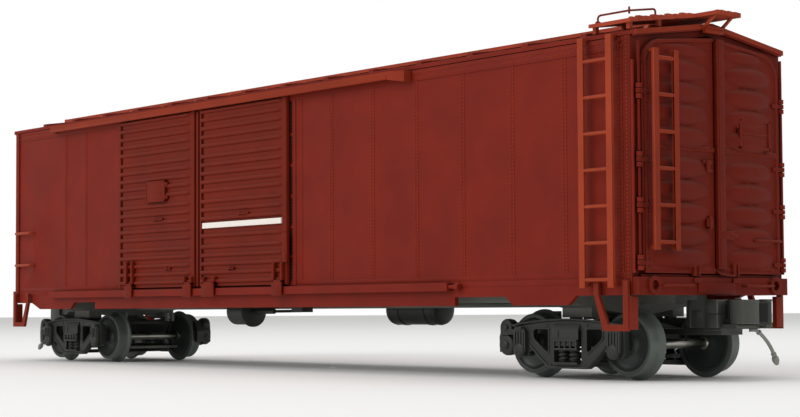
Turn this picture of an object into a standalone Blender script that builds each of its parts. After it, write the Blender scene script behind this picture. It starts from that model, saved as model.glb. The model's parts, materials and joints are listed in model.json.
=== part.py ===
"""A 1:48 model of a steel automobile boxcar, with double side doors and a pair of end doors.

Metres, +Z up. +X is the end with the doors, -Y the side nearest the photograph's viewer.
The origin is under the middle of the car, level with the lowest point of the wheel flanges.
A piece that repeats on the far side is the near one turned half round about Z.
"""

import math

import bmesh
import bpy
from mathutils import Matrix, Vector

# Clearances and overlaps that every piece shares
SEAT_GAP = 0.00015
RUN_GAP = 0.00035
BITE = 0.0004
OVERRUN = 0.0020
WELD = 0.0000002

# Body shell
BODY_LENGTH = 0.3290
BODY_WIDTH = 0.0622
EAVE_Z = 0.0924
ROOF_RISE = 0.0046
WALL = 0.0014
ROOF_THICKNESS = 0.0012
ROOF_END_OVERHANG = 0.0014
ROOF_SIDE_OVERHANG = 0.0004
CORNER_FLANGE_LENGTH = 0.0024
CORNER_FLANGE_THICKNESS = 0.0004

# Side sill: shallow along most of its edge, deeper under the doors and at each truck
SILL_Z = 0.0230
SILL_DROP = 0.0025
DEEP_SILL_FROM = -0.1040
DEEP_SILL_TO = 0.0959
PLAIN_TAB_FROM = -0.1456
PLAIN_TAB_TO = -0.1224
DOOR_END_TAB_FROM = 0.1198
DOOR_END_TAB_TO = 0.1410
TAB_SLOPE = 0.0030
PLAIN_TAB_OUTER_SLOPE = 0.0064

# Riveted side seams
SEAM_WIDTH = 0.0018
SEAM_HEIGHT = 0.00025
SEAM_PITCH = 0.0203
FIRST_SEAM_X = 0.0388
LAST_SEAM_X = 0.1550
PLAIN_SEAM_X = -0.1108
PLAIN_SEAM_PITCH = 0.0150
EAVE_BAND = 0.0030
EAVE_BAND_HEIGHT = 0.0003

# Floor and underframe
FLOOR_TOP_Z = 0.0276
FLOOR_THICKNESS = 0.0014
CENTRE_SILL_WIDTH = 0.0090
CENTRE_SILL_Z = 0.0208
CENTRE_SILL_END = 0.0085
CENTRE_FLANGE_WIDTH = 0.0130
CENTRE_FLANGE_THICKNESS = 0.0008
SIDE_STRINGER_WIDTH = 0.0016
SIDE_STRINGER_Y = 0.0225
SIDE_STRINGER_Z = 0.0213
SIDE_STRINGER_HALF = 0.1145
CROSS_BEARER_WIDTH = 0.0022
CROSS_BEARER_Z = 0.0216
CROSS_BEARER_SHARES = (-0.52, -0.28, -0.09, 0.09, 0.28, 0.52)
BODY_BOLSTER_LENGTH = 0.0120
BODY_BOLSTER_Z = 0.0180
BODY_BOLSTER_SEAT = 0.0060
BODY_BOLSTER_TIP_Z = 0.0212

# Side doors and their tracks
AUX_DOOR_X = -0.0842
AUX_DOOR_WIDTH = 0.0489
DOORS_GAP = 0.0033
MAIN_DOOR_WIDTH = 0.0496
DOOR_BOTTOM_Z = 0.0279
DOOR_TOP_Z = 0.0884
DOOR_THICKNESS = 0.0010
DOOR_WALL_GAP = 0.0005
DOOR_LAP = 0.0026
DOOR_FRAME = 0.0022
DOOR_FRAME_HEIGHT = 0.0003
DOOR_RIB_HEIGHT = 0.0007
DOOR_RIB_WIDTH = 0.0017
DOOR_RIB_PITCH = 0.00295
DOOR_RIB_GROUP_GAP = 0.00375
DOOR_RIBS_IN_GROUP = 5
DOOR_RIB_GROUPS = 4
LOWEST_RIB_Z = 0.0296
HATCH_WIDTH = 0.0124
HATCH_HEIGHT = 0.0075
HATCH_THICKNESS = 0.0004
HATCH_SHARE_X = 0.518
HATCH_SHARE_Z = 0.565
HANGER_WIDTH = 0.0060
HANGER_RISE = 0.0016
HANGER_SHARES = (0.18, 0.82)
SHOE_DROP = 0.0036
PULL_HEIGHT = 0.0009
PULL_DEPTH = 0.0005
LOCK_BAR_WIDTH = 0.0024
LOCK_BAR_LAP = 0.0008
LOCK_BAR_DEPTH = 0.0006
LOCK_BAR_SHARES = (0.119, 0.276)
DOOR_POST_WIDTH = 0.0026
UPPER_TRACK_FROM = -0.1316
UPPER_TRACK_TO = 0.0697
UPPER_TRACK_TOP_Z = 0.0912
UPPER_TRACK_LIP = 0.0024
UPPER_TRACK_REACH = 0.0029
TRACK_THICKNESS = 0.0006
TRACK_STOP_LENGTH = 0.0080
TRACK_STOP_DROP = 0.0014
LOWER_TRACK_FROM = -0.1350
LOWER_TRACK_TO = 0.0949
LOWER_TRACK_TOP_Z = 0.0272
LOWER_TRACK_HEIGHT = 0.0024
LOWER_TRACK_REACH = 0.0022
LOWER_STOP_LENGTH = 0.0042
LOWER_STOP_RADIUS = 0.0006
LOWER_STOP_HEAD = 0.0011
LOWER_STOP_HEAD_LENGTH = 0.0014

# Columns: middle as a share of the door's width, then width and rise, as shares of its width and height
AUX_SHOE_SHARES = ((0.170, 0.096, 0.157), (0.945, 0.102, 0.058))
MAIN_SHOE_SHARES = ((0.136, 0.143, 0.053), (0.926, 0.107, 0.116))
# Columns: middle as shares of the door's width and height, then length as a share of its width
AUX_PULL_SHARES = ((0.544, 0.390, 0.100), (0.669, 0.101, 0.050))
MAIN_PULL_SHARES = ((0.526, 0.388, 0.100), (0.381, 0.088, 0.050))

# Plain end, with its tapered pressed ribs
END_RIB_COUNT = 11
END_RIB_HEIGHT = 0.0034
END_RIB_DEPTH = 0.0010
END_RIB_LENGTH = 0.0540
END_RIB_LOW_Z = 0.0315
END_RIB_HIGH_Z = 0.0860
END_GRAB_Y = 0.0215

# End doors, their frame and hinges
END_OPENING_HALF = 0.0272
END_OPENING_TOP_Z = 0.0897
END_OPENING_RADIUS = 0.0060
END_DOOR_HALF = 0.0283
END_DOOR_BOTTOM_Z = 0.0288
END_DOOR_SIDE_TOP_Z = 0.0908
END_DOOR_PEAK_Z = 0.0930
END_DOOR_RADIUS = 0.0073
END_DOOR_THICKNESS = 0.0012
END_DOOR_MEETING_Y = 0.0006
END_SILL_TOP_Z = 0.0277
END_SILL_REACH = 0.0020
ASTRAGAL_WIDTH = 0.0032
ASTRAGAL_DEPTH = 0.0012
PLEAT_HEIGHT = 0.0032
PLEAT_DEPTH = 0.0010
PLEAT_MARGIN = 0.0028
PLEAT_UPPER_SHARES = (0.575, 0.645, 0.715, 0.785, 0.855)
PLEAT_LOWER_SHARES = (0.085, 0.165, 0.245, 0.325, 0.405, 0.480)
DOOR_SEAM_SHARE = 0.540
DOOR_SEAM_HEIGHT = 0.0013
DOOR_SEAM_DEPTH = 0.0004
END_HATCH_WIDTH = 0.0133
END_HATCH_HEIGHT = 0.0083
END_HATCH_THICKNESS = 0.0013
END_HATCH_Y = 0.0169
END_HINGE_SHARES = (0.042, 0.284, 0.477, 0.766)
HINGE_RADIUS = 0.0009
HINGE_HEIGHT = 0.0042
HINGE_AXIS_Y = 0.0301
HINGE_LUG_GAP = 0.0002
HINGE_KNUCKLES = 3
HINGE_POST_WIDTH = 0.0014
HINGE_POST_THICKNESS = 0.0008
HINGE_POST_TOP_Z = 0.0845
HINGE_STRAP = 0.0026
DOOR_BEAD_RADIUS = 0.00045
DOOR_BEAD_OUT = 0.00025
DOOR_RIM = 0.0011
DOOR_RIM_HEIGHT = 0.0004
LATCH_DEPTH = 0.0013
KEEPER_WIDTH = 0.0028
KEEPER_DEPTH = 0.0006
KEEPER_RISE = 0.0031
KEEPER_Y = 0.0083
STRIKER_HALF = 0.0078
STRIKER_DEPTH = 0.0005
STRIKER_TOP_Z = 0.0262
SILL_GRAB_Y = 0.0172
SILL_GRAB_Z = 0.0255
SILL_GRAB_REACH = 0.0017
DOOR_GRAB_Y = 0.0212
POLING_POCKET_Y = 0.0255
POLING_POCKET_RADIUS = 0.0024
POLING_POCKET_BORE = 0.0014
POLING_POCKET_DEPTH = 0.0008
POLING_POCKET_Z = 0.0256
# Columns: Y of the inner and outer edge, lower and upper edge as shares of the door's height
LEFT_LATCH_PLACES = ((-0.0013, -0.0053, 0.440, 0.492), (-0.0014, -0.0038, 0.203, 0.242))
RIGHT_LATCH_PLACES = ((0.0021, 0.0073, 0.150, 0.187),)

# Ladders, grab irons, stirrups
RUNG_PITCH = 0.00968
LOWEST_RUNG_Z = 0.0271
RUNG_RADIUS = 0.00050
STILE_WIDTH = 0.0019
STILE_DEPTH = 0.0009
SIDE_LADDER_X = 0.1542
SIDE_LADDER_WIDTH = 0.0120
SIDE_LADDER_REACH = 0.0026
SIDE_LADDER_TOP_Z = 0.0915
SIDE_LADDER_BOTTOM_Z = 0.0250
SIDE_LADDER_RUNGS = 7
END_LADDER_Y = 0.02275
END_LADDER_WIDTH = 0.0099
END_LADDER_BOTTOM_Z = 0.0347
END_LADDER_TOP_Z = 0.0875
END_LADDER_REACH = 0.0022
END_LADDER_RUNGS = 6
LADDER_FOOT = 0.0012
GRAB_LENGTH = 0.0115
GRAB_REACH = 0.0021
GRAB_RADIUS = 0.00040
GRAB_X = -0.1560
GRAB_LOW_Z = 0.0380
GRAB_HIGH_Z = 0.0507
STIRRUP_FROM = 0.1520
STIRRUP_FOOT_FROM = 0.1552
STIRRUP_TO = 0.1640
STIRRUP_BOTTOM_Z = 0.0136
STIRRUP_TOP_Z = 0.0268
STIRRUP_THICKNESS = 0.0011
STIRRUP_BAR = 0.0017
STIRRUP_WRAP = 0.0026

# Roof: raised ribs, running board, corner boards and their handrails
ROOF_RIB_PITCH = 0.0223
ROOF_RIB_WIDTH = 0.0022
ROOF_RIB_HEIGHT = 0.0009
ROOF_RIB_FIRST_X = -0.1423
ROOF_RIBS = 14
RUNNING_BOARD_WIDTH = 0.0102
RUNNING_BOARD_LIFT = 0.0024
RUNNING_BOARD_THICKNESS = 0.0011
RUNNING_BOARD_OVERHANG = 0.0063
RUNNING_PLANKS = 3
PLANK_GROOVE = 0.0004
SADDLE_WIDTH = 0.0016
SADDLE_SPREAD = 0.0012
END_BRACE_WIDTH = 0.0009
END_BRACE_Y = 0.0036
END_BRACE_INSET = 0.0012
END_BRACE_DROP = 0.0008
ROOF_END_LIP = 0.0005
ROOF_END_LIP_LENGTH = 0.0010
CORNER_BOARD_LENGTH = 0.0147
CORNER_BOARD_OVERHANG = 0.0003
CORNER_BOARD_OUTER_Y = 0.0332
CORNER_BOARD_INNER_Y = 0.0066
CORNER_BOARD_LIFT = 0.0030
CORNER_BOARD_THICKNESS = 0.0010
CORNER_POST_WIDTH = 0.0014
CORNER_POST_SHARES = (0.500, 0.930)
CORNER_PLANKS = 6
HANDRAIL_FOOT_SHARE = 0.52
HANDRAIL_RADIUS = 0.00035
HANDRAIL_LIFT = 0.0026
HANDRAIL_INSET = 0.0024

# Brake gear on the plain end
BRAKE_WHEEL_RADIUS = 0.0055
BRAKE_WHEEL_RIM = 0.0005
BRAKE_WHEEL_HUB = 0.0011
BRAKE_WHEEL_SPOKES = 6
BRAKE_SPOKE_SHARE = 0.8
BRAKE_WHEEL_Y = 0.0070
BRAKE_WHEEL_Z = 0.0800
BRAKE_WHEEL_REACH = 0.0052
BRAKE_HOUSING_HALF = 0.0030
BRAKE_HOUSING_RISE = 0.0036
BRAKE_HOUSING_DEPTH = 0.0026
BRAKE_HOUSING_TAPER_SHARE = 0.7
BRAKE_STEP_HALF = 0.0085
BRAKE_STEP_Z = 0.0625
BRAKE_STEP_THICKNESS = 0.0008
BRAKE_STEP_DEPTH = 0.0042
BRAKE_STEP_BRACKET = 0.0030

# Air brake equipment under the floor
CYLINDER_X = -0.0330
CYLINDER_Y = -0.0130
CYLINDER_RADIUS = 0.0046
CYLINDER_LENGTH = 0.0110
CYLINDER_FLANGE = 0.0054
CYLINDER_FLANGE_LENGTH = 0.0012
CYLINDER_ROD_RADIUS = 0.0009
CYLINDER_ROD_LENGTH = 0.0120
CYLINDER_Z = 0.0192
RESERVOIR_X = 0.0300
RESERVOIR_Y = 0.0135
RESERVOIR_RADIUS = 0.0050
RESERVOIR_LENGTH = 0.0260
RESERVOIR_DOME = 0.0016
RESERVOIR_Z = 0.0195
RESERVOIR_STRAP = 0.0016
RESERVOIR_SHOULDER_SHARE = 0.7
VALVE_X = 0.0020
VALVE_Y = -0.0145
VALVE_SIZE = 0.0058
VALVE_CAP_RADIUS = 0.0022
VALVE_HEIGHT = 0.0072
VALVE_DEPTH_SHARE = 0.8
VALVE_CAP_REACH_SHARE = 0.7

# Trucks
TRUCK_X = 0.13325
WHEELBASE = 0.0355
TREAD_RADIUS = 0.00875
FLANGE_HEIGHT = 0.0010
WHEEL_BACK_Y = 0.01375
WHEEL_WIDTH = 0.0051
WHEEL_FLANGE_WIDTH = 0.0009
WHEEL_TAPER = 0.0003
WHEEL_RIM_DEPTH = 0.0014
WHEEL_DISH = 0.0011
WHEEL_HUB_RADIUS = 0.0026
AXLE_RADIUS = 0.0013
JOURNAL_RADIUS = 0.0009
AXLE_END_Y = 0.0222
WHEEL_STEPS = 16
SIDEFRAME_INNER_Y = 0.0213
SIDEFRAME_THICKNESS = 0.0021
SIDEFRAME_TOP_Z = 0.0166
SIDEFRAME_END_TOP_Z = 0.0149
SIDEFRAME_BOTTOM_Z = 0.0030
SIDEFRAME_SPRING_SEAT_Z = 0.0046
JOURNAL_BOX_HALF = 0.0031
JOURNAL_BOX_BOTTOM_Z = 0.0062
JOURNAL_BOX_PROUD = 0.0012
FRAME_CHORD = 0.0018
FRAME_COLUMN = 0.0018
SPRING_RADIUS = 0.0016
SPRING_SPREAD = 0.0020
SPRING_COILS = 3
SPRING_CORE_SHARE = 0.72
WINDOW_HALF = 0.0052
WINDOW_CORNER = 0.0009
FRAME_CORNER = 0.0007
LID_WIDTH_SHARE = 0.75
LID_CORNER = 0.0012
DIAGONAL_FOOT_SHARE = 1.6
LIGHT_END_SHARE = 0.6
LIGHT_FOOT_SHARE = 1.9
LIGHT_RISE_SHARE = 0.7
BRAKE_SHOE_GAP = 0.0005
BRAKE_SHOE_DEPTH = 0.0014
BRAKE_SHOE_INNER_Y = 0.0158
BRAKE_SHOE_LOW_ANGLE = -14
BRAKE_SHOE_HIGH_ANGLE = 34
BRAKE_ARM_Z = 0.0122
BRAKE_ARM_HEIGHT = 0.0016
SPRING_PLANK_HALF = 0.0040
SPRING_PLANK_THICKNESS = 0.0012
BRAKE_BEAM_X = 0.0066
BRAKE_BEAM_Z = 0.0060
BRAKE_BEAM_HALF = 0.0196
BRAKE_STRUT_Y = 0.0080
BRAKE_STRUT_WIDTH = 0.0012
SIDE_BEARING_Y = 0.0170
SIDE_BEARING_WIDTH = 0.0050
SIDE_BEARING_Z = 0.0171
TRUCK_BOLSTER_HALF = 0.0046
TRUCK_BOLSTER_BOTTOM_Z = 0.0092
TRUCK_BOLSTER_TOP_Z = 0.0134
TRUCK_BOLSTER_END_Y = 0.0243
CENTRE_PLATE_RADIUS = 0.0052
CENTRE_PLATE_TOP_Z = 0.0178
TRUCK_SIDES = 12
PIVOT_RADIUS = 0.0013
PIVOT_HEAD_RADIUS = 0.0026
PIVOT_HEAD_HEIGHT = 0.0012
PIVOT_RISE = 0.0030

# Couplers and air hoses, carried by the trucks
COUPLER_ARM_HALF = 0.0044
COUPLER_ARM_Z = 0.0123
COUPLER_ARM_THICKNESS = 0.0016
DRAFT_BOX_FROM = 0.0275
DRAFT_BOX_TO = 0.0385
DRAFT_BOX_HALF = 0.0062
COUPLER_BOTTOM_Z = 0.0143
COUPLER_TOP_Z = 0.0216
COUPLER_NOSE = 0.0464
HEAD_HALF = 0.0050
HEAD_WALL = 0.0024
HEAD_CORNER = 0.0007
SHANK_SHARE = 0.4
HEEL_SHARE = 0.6
KNUCKLE_PIN_X = 0.0414
KNUCKLE_RADIUS = 0.0022
KNUCKLE_LIP_SHARE = 0.8
KNUCKLE_THROAT_SHARE = 1.2
KNUCKLE_TIP_SHARE = 2.2
HOSE_RADIUS = 0.0006
HOSE_X = 0.0420
HOSE_Y = 0.0070
GLAD_HAND_Y = 0.0150
GLAD_HAND_Z = 0.0059
GLAD_HAND_RADIUS = 0.0011
GLAD_HAND_LENGTH = 0.0024
HOSE_DROP = 0.0040

# Whole numbers of facets
ROD_SIDES = 8
FINE_SIDES = 6
SPOKE_SIDES = 4
ARC_STEPS = 4
CORNER_STEPS = 2
FLAT_ANGLE = 0.001

# What follows from the sizes above
BODY_HALF = BODY_LENGTH / 2
ROOF_END_X = BODY_HALF + ROOF_END_OVERHANG
RUNNING_BOARD_HALF = ROOF_END_X + RUNNING_BOARD_OVERHANG
CORNER_BOARD_TO = ROOF_END_X + CORNER_BOARD_OVERHANG
CORNER_BOARD_FROM = CORNER_BOARD_TO - CORNER_BOARD_LENGTH
SIDE_Y = BODY_WIDTH / 2
AXLE_Z = TREAD_RADIUS + FLANGE_HEIGHT
DEEP_Z = SILL_Z - SILL_DROP
ROOF_SLOPE = ROOF_RISE / SIDE_Y
END_X = BODY_HALF
INNER_END_X = BODY_HALF - WALL
MAIN_DOOR_X = AUX_DOOR_X + AUX_DOOR_WIDTH + DOORS_GAP
RUNNING_BOARD_TOP_Z = EAVE_Z + ROOF_RISE + RUNNING_BOARD_LIFT
SIDE_TOP_Z = EAVE_Z - ROOF_THICKNESS - SEAT_GAP
DOOR_INNER_Y = SIDE_Y + DOOR_WALL_GAP
DOOR_OUTER_Y = DOOR_INNER_Y + DOOR_THICKNESS
END_DOOR_X = END_X + RUN_GAP
END_DOOR_FACE_X = END_DOOR_X + END_DOOR_THICKNESS
END_DOOR_HEIGHT = END_DOOR_SIDE_TOP_Z - END_DOOR_BOTTOM_Z
HINGE_AXIS_X = END_DOOR_FACE_X

PARTS = bpy.data.collections.new("automobile_boxcar")
TOOLS = bpy.data.collections.new("shapes_to_join_or_cut")


def clear_scene():
    """An empty scene with one collection for the pieces and one for the shapes that make them."""
    for obj in list(bpy.data.objects):
        bpy.data.objects.remove(obj)
    for collection in (PARTS, TOOLS):
        bpy.context.scene.collection.children.link(collection)


def surface(name, colour, roughness, metallic):
    material = bpy.data.materials.new(name)
    material.use_nodes = True
    shader = material.node_tree.nodes["Principled BSDF"]
    shader.inputs["Base Color"].default_value = (*colour, 1)
    shader.inputs["Roughness"].default_value = roughness
    shader.inputs["Metallic"].default_value = metallic
    return material


OXIDE_PAINT = surface("oxide_red_paint", (0.19, 0.028, 0.018), 0.55, 0)
BRIGHT_OXIDE = surface("oxide_red_fittings", (0.32, 0.055, 0.028), 0.5, 0)
DARK_CASTING = surface("blackened_casting", (0.028, 0.03, 0.029), 0.5, 0.3)
WHEEL_METAL = surface("blackened_wheel", (0.05, 0.056, 0.056), 0.4, 0.7)
GREY_METAL = surface("grey_floor_metal", (0.2, 0.21, 0.2), 0.5, 0.4)


def shape_of(bm):
    """A tool object from a bmesh, with its faces turned outwards."""
    bmesh.ops.remove_doubles(bm, verts=bm.verts, dist=WELD)
    bmesh.ops.recalc_face_normals(bm, faces=bm.faces)
    mesh = bpy.data.meshes.new("shape")
    bm.to_mesh(mesh)
    bm.free()
    obj = bpy.data.objects.new("shape", mesh)
    TOOLS.objects.link(obj)
    obj.hide_render = True
    obj.display_type = "WIRE"
    return obj


def blocks(*corner_pairs):
    """Boxes, each from its lowest to its highest corner, as one shape."""
    bm = bmesh.new()
    for ends in corner_pairs:
        for vert in bmesh.ops.create_cube(bm, size=1)["verts"]:
            vert.co = [ends[along > 0][axis] for axis, along in enumerate(vert.co)]
    return shape_of(bm)


def rods(radius, sides, *end_pairs):
    """Round bars of one radius, each from its start to its end, as one shape."""
    bm = bmesh.new()
    for start, end in end_pairs:
        start, end = Vector(start), Vector(end)
        turn = (end - start).to_track_quat("Z", "Y").to_matrix().to_4x4()
        bmesh.ops.create_cone(
            bm, cap_ends=True, segments=sides, radius1=radius, radius2=radius,
            depth=(end - start).length, matrix=Matrix.Translation((start + end) / 2) @ turn,
        )
    return shape_of(bm)


def hulls(*point_groups):
    """The convex solid round each group of points, as one shape."""
    bm = bmesh.new()
    for points in point_groups:
        corners = [bm.verts.new(point) for point in points]
        bmesh.ops.convex_hull(bm, input=corners)
    return shape_of(bm)


def meshed(obj):
    """A bmesh of what the object's curve or modifiers make; the object is removed."""
    graph = bpy.context.evaluated_depsgraph_get()
    mesh = bpy.data.meshes.new_from_object(obj.evaluated_get(graph))
    bm = bmesh.new()
    bm.from_mesh(mesh)
    bpy.data.objects.remove(obj)
    return bm


def plate(axis, outline, low, high, holes=()):
    """A flat outline with holes, from low to high along the axis that it is square to.

    The outline's points are (Y, Z) for axis X, (X, Z) for axis Y and (X, Y) for axis Z.
    """
    curve = bpy.data.curves.new("outline", "CURVE")
    curve.dimensions = "2D"
    curve.fill_mode = "BOTH"
    curve.extrude = (high - low) / 2
    for points in (outline, *holes):
        spline = curve.splines.new("POLY")
        spline.points.add(len(points) - 1)
        for point, (across, up) in zip(spline.points, points):
            point.co = (across, up, 0, 1)
        spline.use_cyclic_u = True
    flat = bpy.data.objects.new("outline", curve)
    TOOLS.objects.link(flat)
    bm = meshed(flat)
    bmesh.ops.remove_doubles(bm, verts=bm.verts, dist=WELD)
    bmesh.ops.dissolve_limit(bm, angle_limit=FLAT_ANGLE, verts=bm.verts, edges=bm.edges)
    for vert in bm.verts:
        across, up, side = vert.co
        along = high if side > 0 else low
        vert.co = {"X": (along, across, up), "Y": (across, along, up), "Z": (across, up, along)}[axis]
    return shape_of(bm)


def turned(profile, steps, place=Matrix.Identity(4)):
    """A profile of (radius, height) points, from top to bottom, turned about Z and then placed."""
    mesh = bpy.data.meshes.new("profile")
    bm = bmesh.new()
    points = [bm.verts.new((radius, 0, height)) for radius, height in profile]
    for first, second in zip(points, points[1:]):
        bm.edges.new((first, second))
    bm.to_mesh(mesh)
    bm.free()
    obj = bpy.data.objects.new("profile", mesh)
    TOOLS.objects.link(obj)
    screw = obj.modifiers.new("Turn", "SCREW")
    screw.steps = screw.render_steps = steps
    screw.use_merge_vertices = True
    screw.merge_threshold = WELD
    bm = meshed(obj)
    bmesh.ops.transform(bm, matrix=place, verts=bm.verts)
    return shape_of(bm)


def bent_wire(points, radius, bevel_steps=1, closed=False):
    """A wire through the points, as a curve with a round bevel; an open one has filled caps."""
    curve = bpy.data.curves.new("wire", "CURVE")
    curve.dimensions = "3D"
    curve.bevel_depth = radius
    curve.bevel_resolution = bevel_steps
    curve.use_fill_caps = not closed
    spline = curve.splines.new("POLY")
    spline.points.add(len(points) - 1)
    for point, place in zip(spline.points, points):
        point.co = (*place, 1)
    spline.use_cyclic_u = closed
    wire = bpy.data.objects.new("wire", curve)
    TOOLS.objects.link(wire)
    return shape_of(meshed(wire))


def combined(base, others, operation):
    """The base shape joined with the others, or cut by them."""
    for other in others:
        modifier = base.modifiers.new(operation.title(), "BOOLEAN")
        modifier.operation = operation
        modifier.object = other
    result = shape_of(meshed(base))
    for other in others:
        bpy.data.objects.remove(other)
    return result


def joined(*shapes):
    return combined(shapes[0], shapes[1:], "UNION")


def cut(base, *cutters):
    return combined(base, cutters, "DIFFERENCE")


def piece(name, shape, material, place=Matrix.Identity(4), parent=None):
    """Names a finished shape and puts it in the model."""
    shape.name = name
    shape.data.name = name
    shape.data.materials.clear()
    shape.data.materials.append(material)
    TOOLS.objects.unlink(shape)
    PARTS.objects.link(shape)
    shape.hide_render = False
    shape.display_type = "TEXTURED"
    shape.parent = parent
    shape.matrix_local = place
    shape.data.set_sharp_from_angle(angle=math.radians(35))
    return shape


def copied(name, source, place, parent=None):
    """Another object with the same mesh."""
    obj = bpy.data.objects.new(name, source.data)
    PARTS.objects.link(obj)
    obj.parent = parent
    obj.matrix_local = place
    return obj


def pivot(name, place, parent=None):
    """An empty on a joint's axis, which carries what turns there."""
    empty = bpy.data.objects.new(name, None)
    PARTS.objects.link(empty)
    empty.parent = parent
    empty.matrix_local = place
    return empty


HALF_TURN = Matrix.Rotation(math.pi, 4, "Z")


def both_sides(name, shape, material):
    """The piece on the near side, and the same one turned half round on the far side."""
    near = piece(name + "_near", shape, material)
    return near, copied(name + "_far", near, HALF_TURN)


def arc(centre, radius, first, last, steps=ARC_STEPS):
    """Points on an arc, from one angle to another in degrees."""
    angles = [math.radians(first + (last - first) * step / steps) for step in range(steps + 1)]
    return [(centre[0] + radius * math.cos(a), centre[1] + radius * math.sin(a)) for a in angles]


def rounded(points, radius, steps=CORNER_STEPS):
    """A closed outline's points, with each corner drawn as an arc of the radius."""
    result = []
    for number, corner in enumerate(points):
        corner = Vector(corner)
        back = Vector(points[number - 1]) - corner
        ahead = Vector(points[(number + 1) % len(points)]) - corner
        half = back.angle(ahead) / 2
        reach = min(radius / math.tan(half), back.length / 2 - WELD, ahead.length / 2 - WELD)
        ray = (back.normalized() + ahead.normalized()).normalized()
        centre = corner + ray * reach / math.cos(half)
        start = corner + back.normalized() * reach - centre
        end = corner + ahead.normalized() * reach - centre
        for step in range(steps + 1):
            spoke = start.lerp(end, step / steps).normalized() * start.length
            result.append(tuple(centre + spoke))
    return result


def roof_top_z(y):
    return EAVE_Z + ROOF_RISE - ROOF_SLOPE * abs(y)


def mirrored(points):
    """Points on the right, up to the middle, followed by their mirror images down the left."""
    return list(points) + [(-across, up) for across, up in reversed(points) if across]


# Body shell


def sill_notches():
    """Cutters that leave the sill shallow between its deep stretches.

    Columns: X at the deep edge on the left and right, and how far each end slopes inwards.
    """
    reach = INNER_END_X + OVERRUN
    table = [
        (-reach, PLAIN_TAB_FROM, 0, PLAIN_TAB_OUTER_SLOPE),
        (PLAIN_TAB_TO, DEEP_SILL_FROM, TAB_SLOPE, 0),
        (DEEP_SILL_TO, DOOR_END_TAB_FROM, 0, TAB_SLOPE),
        (DOOR_END_TAB_TO, reach, TAB_SLOPE, 0),
    ]
    cutters = []
    for left, right, left_slope, right_slope in table:
        outline = [
            (left, DEEP_Z), (left, DEEP_Z - OVERRUN), (right, DEEP_Z - OVERRUN), (right, DEEP_Z),
            (right - right_slope, SILL_Z), (left + left_slope, SILL_Z),
        ]
        cutters.append(plate("Y", outline, -SIDE_Y - OVERRUN, WALL - SIDE_Y + OVERRUN))
    return cutters


def door_opening():
    """Lowest and highest (X, Z) of the opening that the two doors of a side close."""
    left = AUX_DOOR_X + DOOR_LAP
    right = MAIN_DOOR_X + MAIN_DOOR_WIDTH - DOOR_LAP
    return (left, FLOOR_TOP_Z), (right, DOOR_TOP_Z - DOOR_LAP)


def seam_places():
    """X of each riveted seam of the near side."""
    count = round((LAST_SEAM_X - FIRST_SEAM_X) / SEAM_PITCH) + 1
    right = [FIRST_SEAM_X + SEAM_PITCH * number for number in range(count)]
    return right + [PLAIN_SEAM_X - PLAIN_SEAM_PITCH * number for number in range(2)]


def grab_iron(across, outwards, z, length=GRAB_LENGTH, reach=GRAB_REACH):
    """A grab iron's points, standing off a wall at X = Y = 0: across and outwards are X, Y vectors."""
    half = Vector((*across, 0)) * length / 2
    out = Vector((*outwards, 0)) * reach
    root = Vector((*outwards, 0)) * -BITE
    level = Vector((0, 0, z))
    return [level - half + root, level - half + out, level + half + out, level + half + root]


def end_grab(wall, y, z, reach=GRAB_REACH):
    """A grab iron on a wall that faces +X."""
    place = Vector((wall, y, 0))
    return bent_wire([p + place for p in grab_iron((0, 1), (1, 0), z, reach=reach)], GRAB_RADIUS)


def door_posts():
    """Lowest and highest X of the strips that the closed doors' outer edges stand beside."""
    left = AUX_DOOR_X - RUN_GAP
    right = MAIN_DOOR_X + MAIN_DOOR_WIDTH + RUN_GAP
    return [(left - DOOR_POST_WIDTH, left), (right, right + DOOR_POST_WIDTH)]


def side_panels():
    (left, bottom), (right, top) = door_opening()
    opening = [(left, bottom), (right, bottom), (right, top), (left, top)]
    reach = INNER_END_X - SEAT_GAP
    outline = [(-reach, DEEP_Z), (reach, DEEP_Z), (reach, SIDE_TOP_Z), (-reach, SIDE_TOP_Z)]
    wall = plate("Y", outline, -SIDE_Y, WALL - SIDE_Y, holes=[opening])
    out = -SIDE_Y - SEAM_HEIGHT
    bite = -SIDE_Y + BITE
    reach -= CORNER_FLANGE_LENGTH
    strips = [(x - SEAM_WIDTH / 2, x + SEAM_WIDTH / 2) for x in seam_places()] + door_posts()
    low, high = LOWER_TRACK_TOP_Z + RUN_GAP, SIDE_TOP_Z - EAVE_BAND
    seams = [((start, out, low), (end, bite, high)) for start, end in strips]
    band_out = -SIDE_Y - EAVE_BAND_HEIGHT
    band_low = SIDE_TOP_Z - EAVE_BAND - BITE
    band = ((-reach, band_out, band_low), (reach, bite + SEAM_HEIGHT, SIDE_TOP_Z - SEAT_GAP))
    grabs = []
    for z in (GRAB_LOW_Z, GRAB_HIGH_Z):
        points = grab_iron((1, 0), (0, -1), z)
        grabs.append(bent_wire([p + Vector((GRAB_X, -SIDE_Y, 0)) for p in points], GRAB_RADIUS))
    shape = cut(joined(wall, blocks(*seams), blocks(band), *grabs), *sill_notches())
    both_sides("side_panel", shape, OXIDE_PAINT)


def roof_section(rise, drop, half):
    """The roof's gable section in Y and Z: its top raised by rise, its underside drop below."""
    eave = EAVE_Z - ROOF_SLOPE * (half - SIDE_Y)
    ridge = EAVE_Z + ROOF_RISE
    return [
        (-half, eave - drop), (0, ridge - drop), (half, eave - drop),
        (half, eave + rise), (0, ridge + rise), (-half, eave + rise),
    ]


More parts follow.
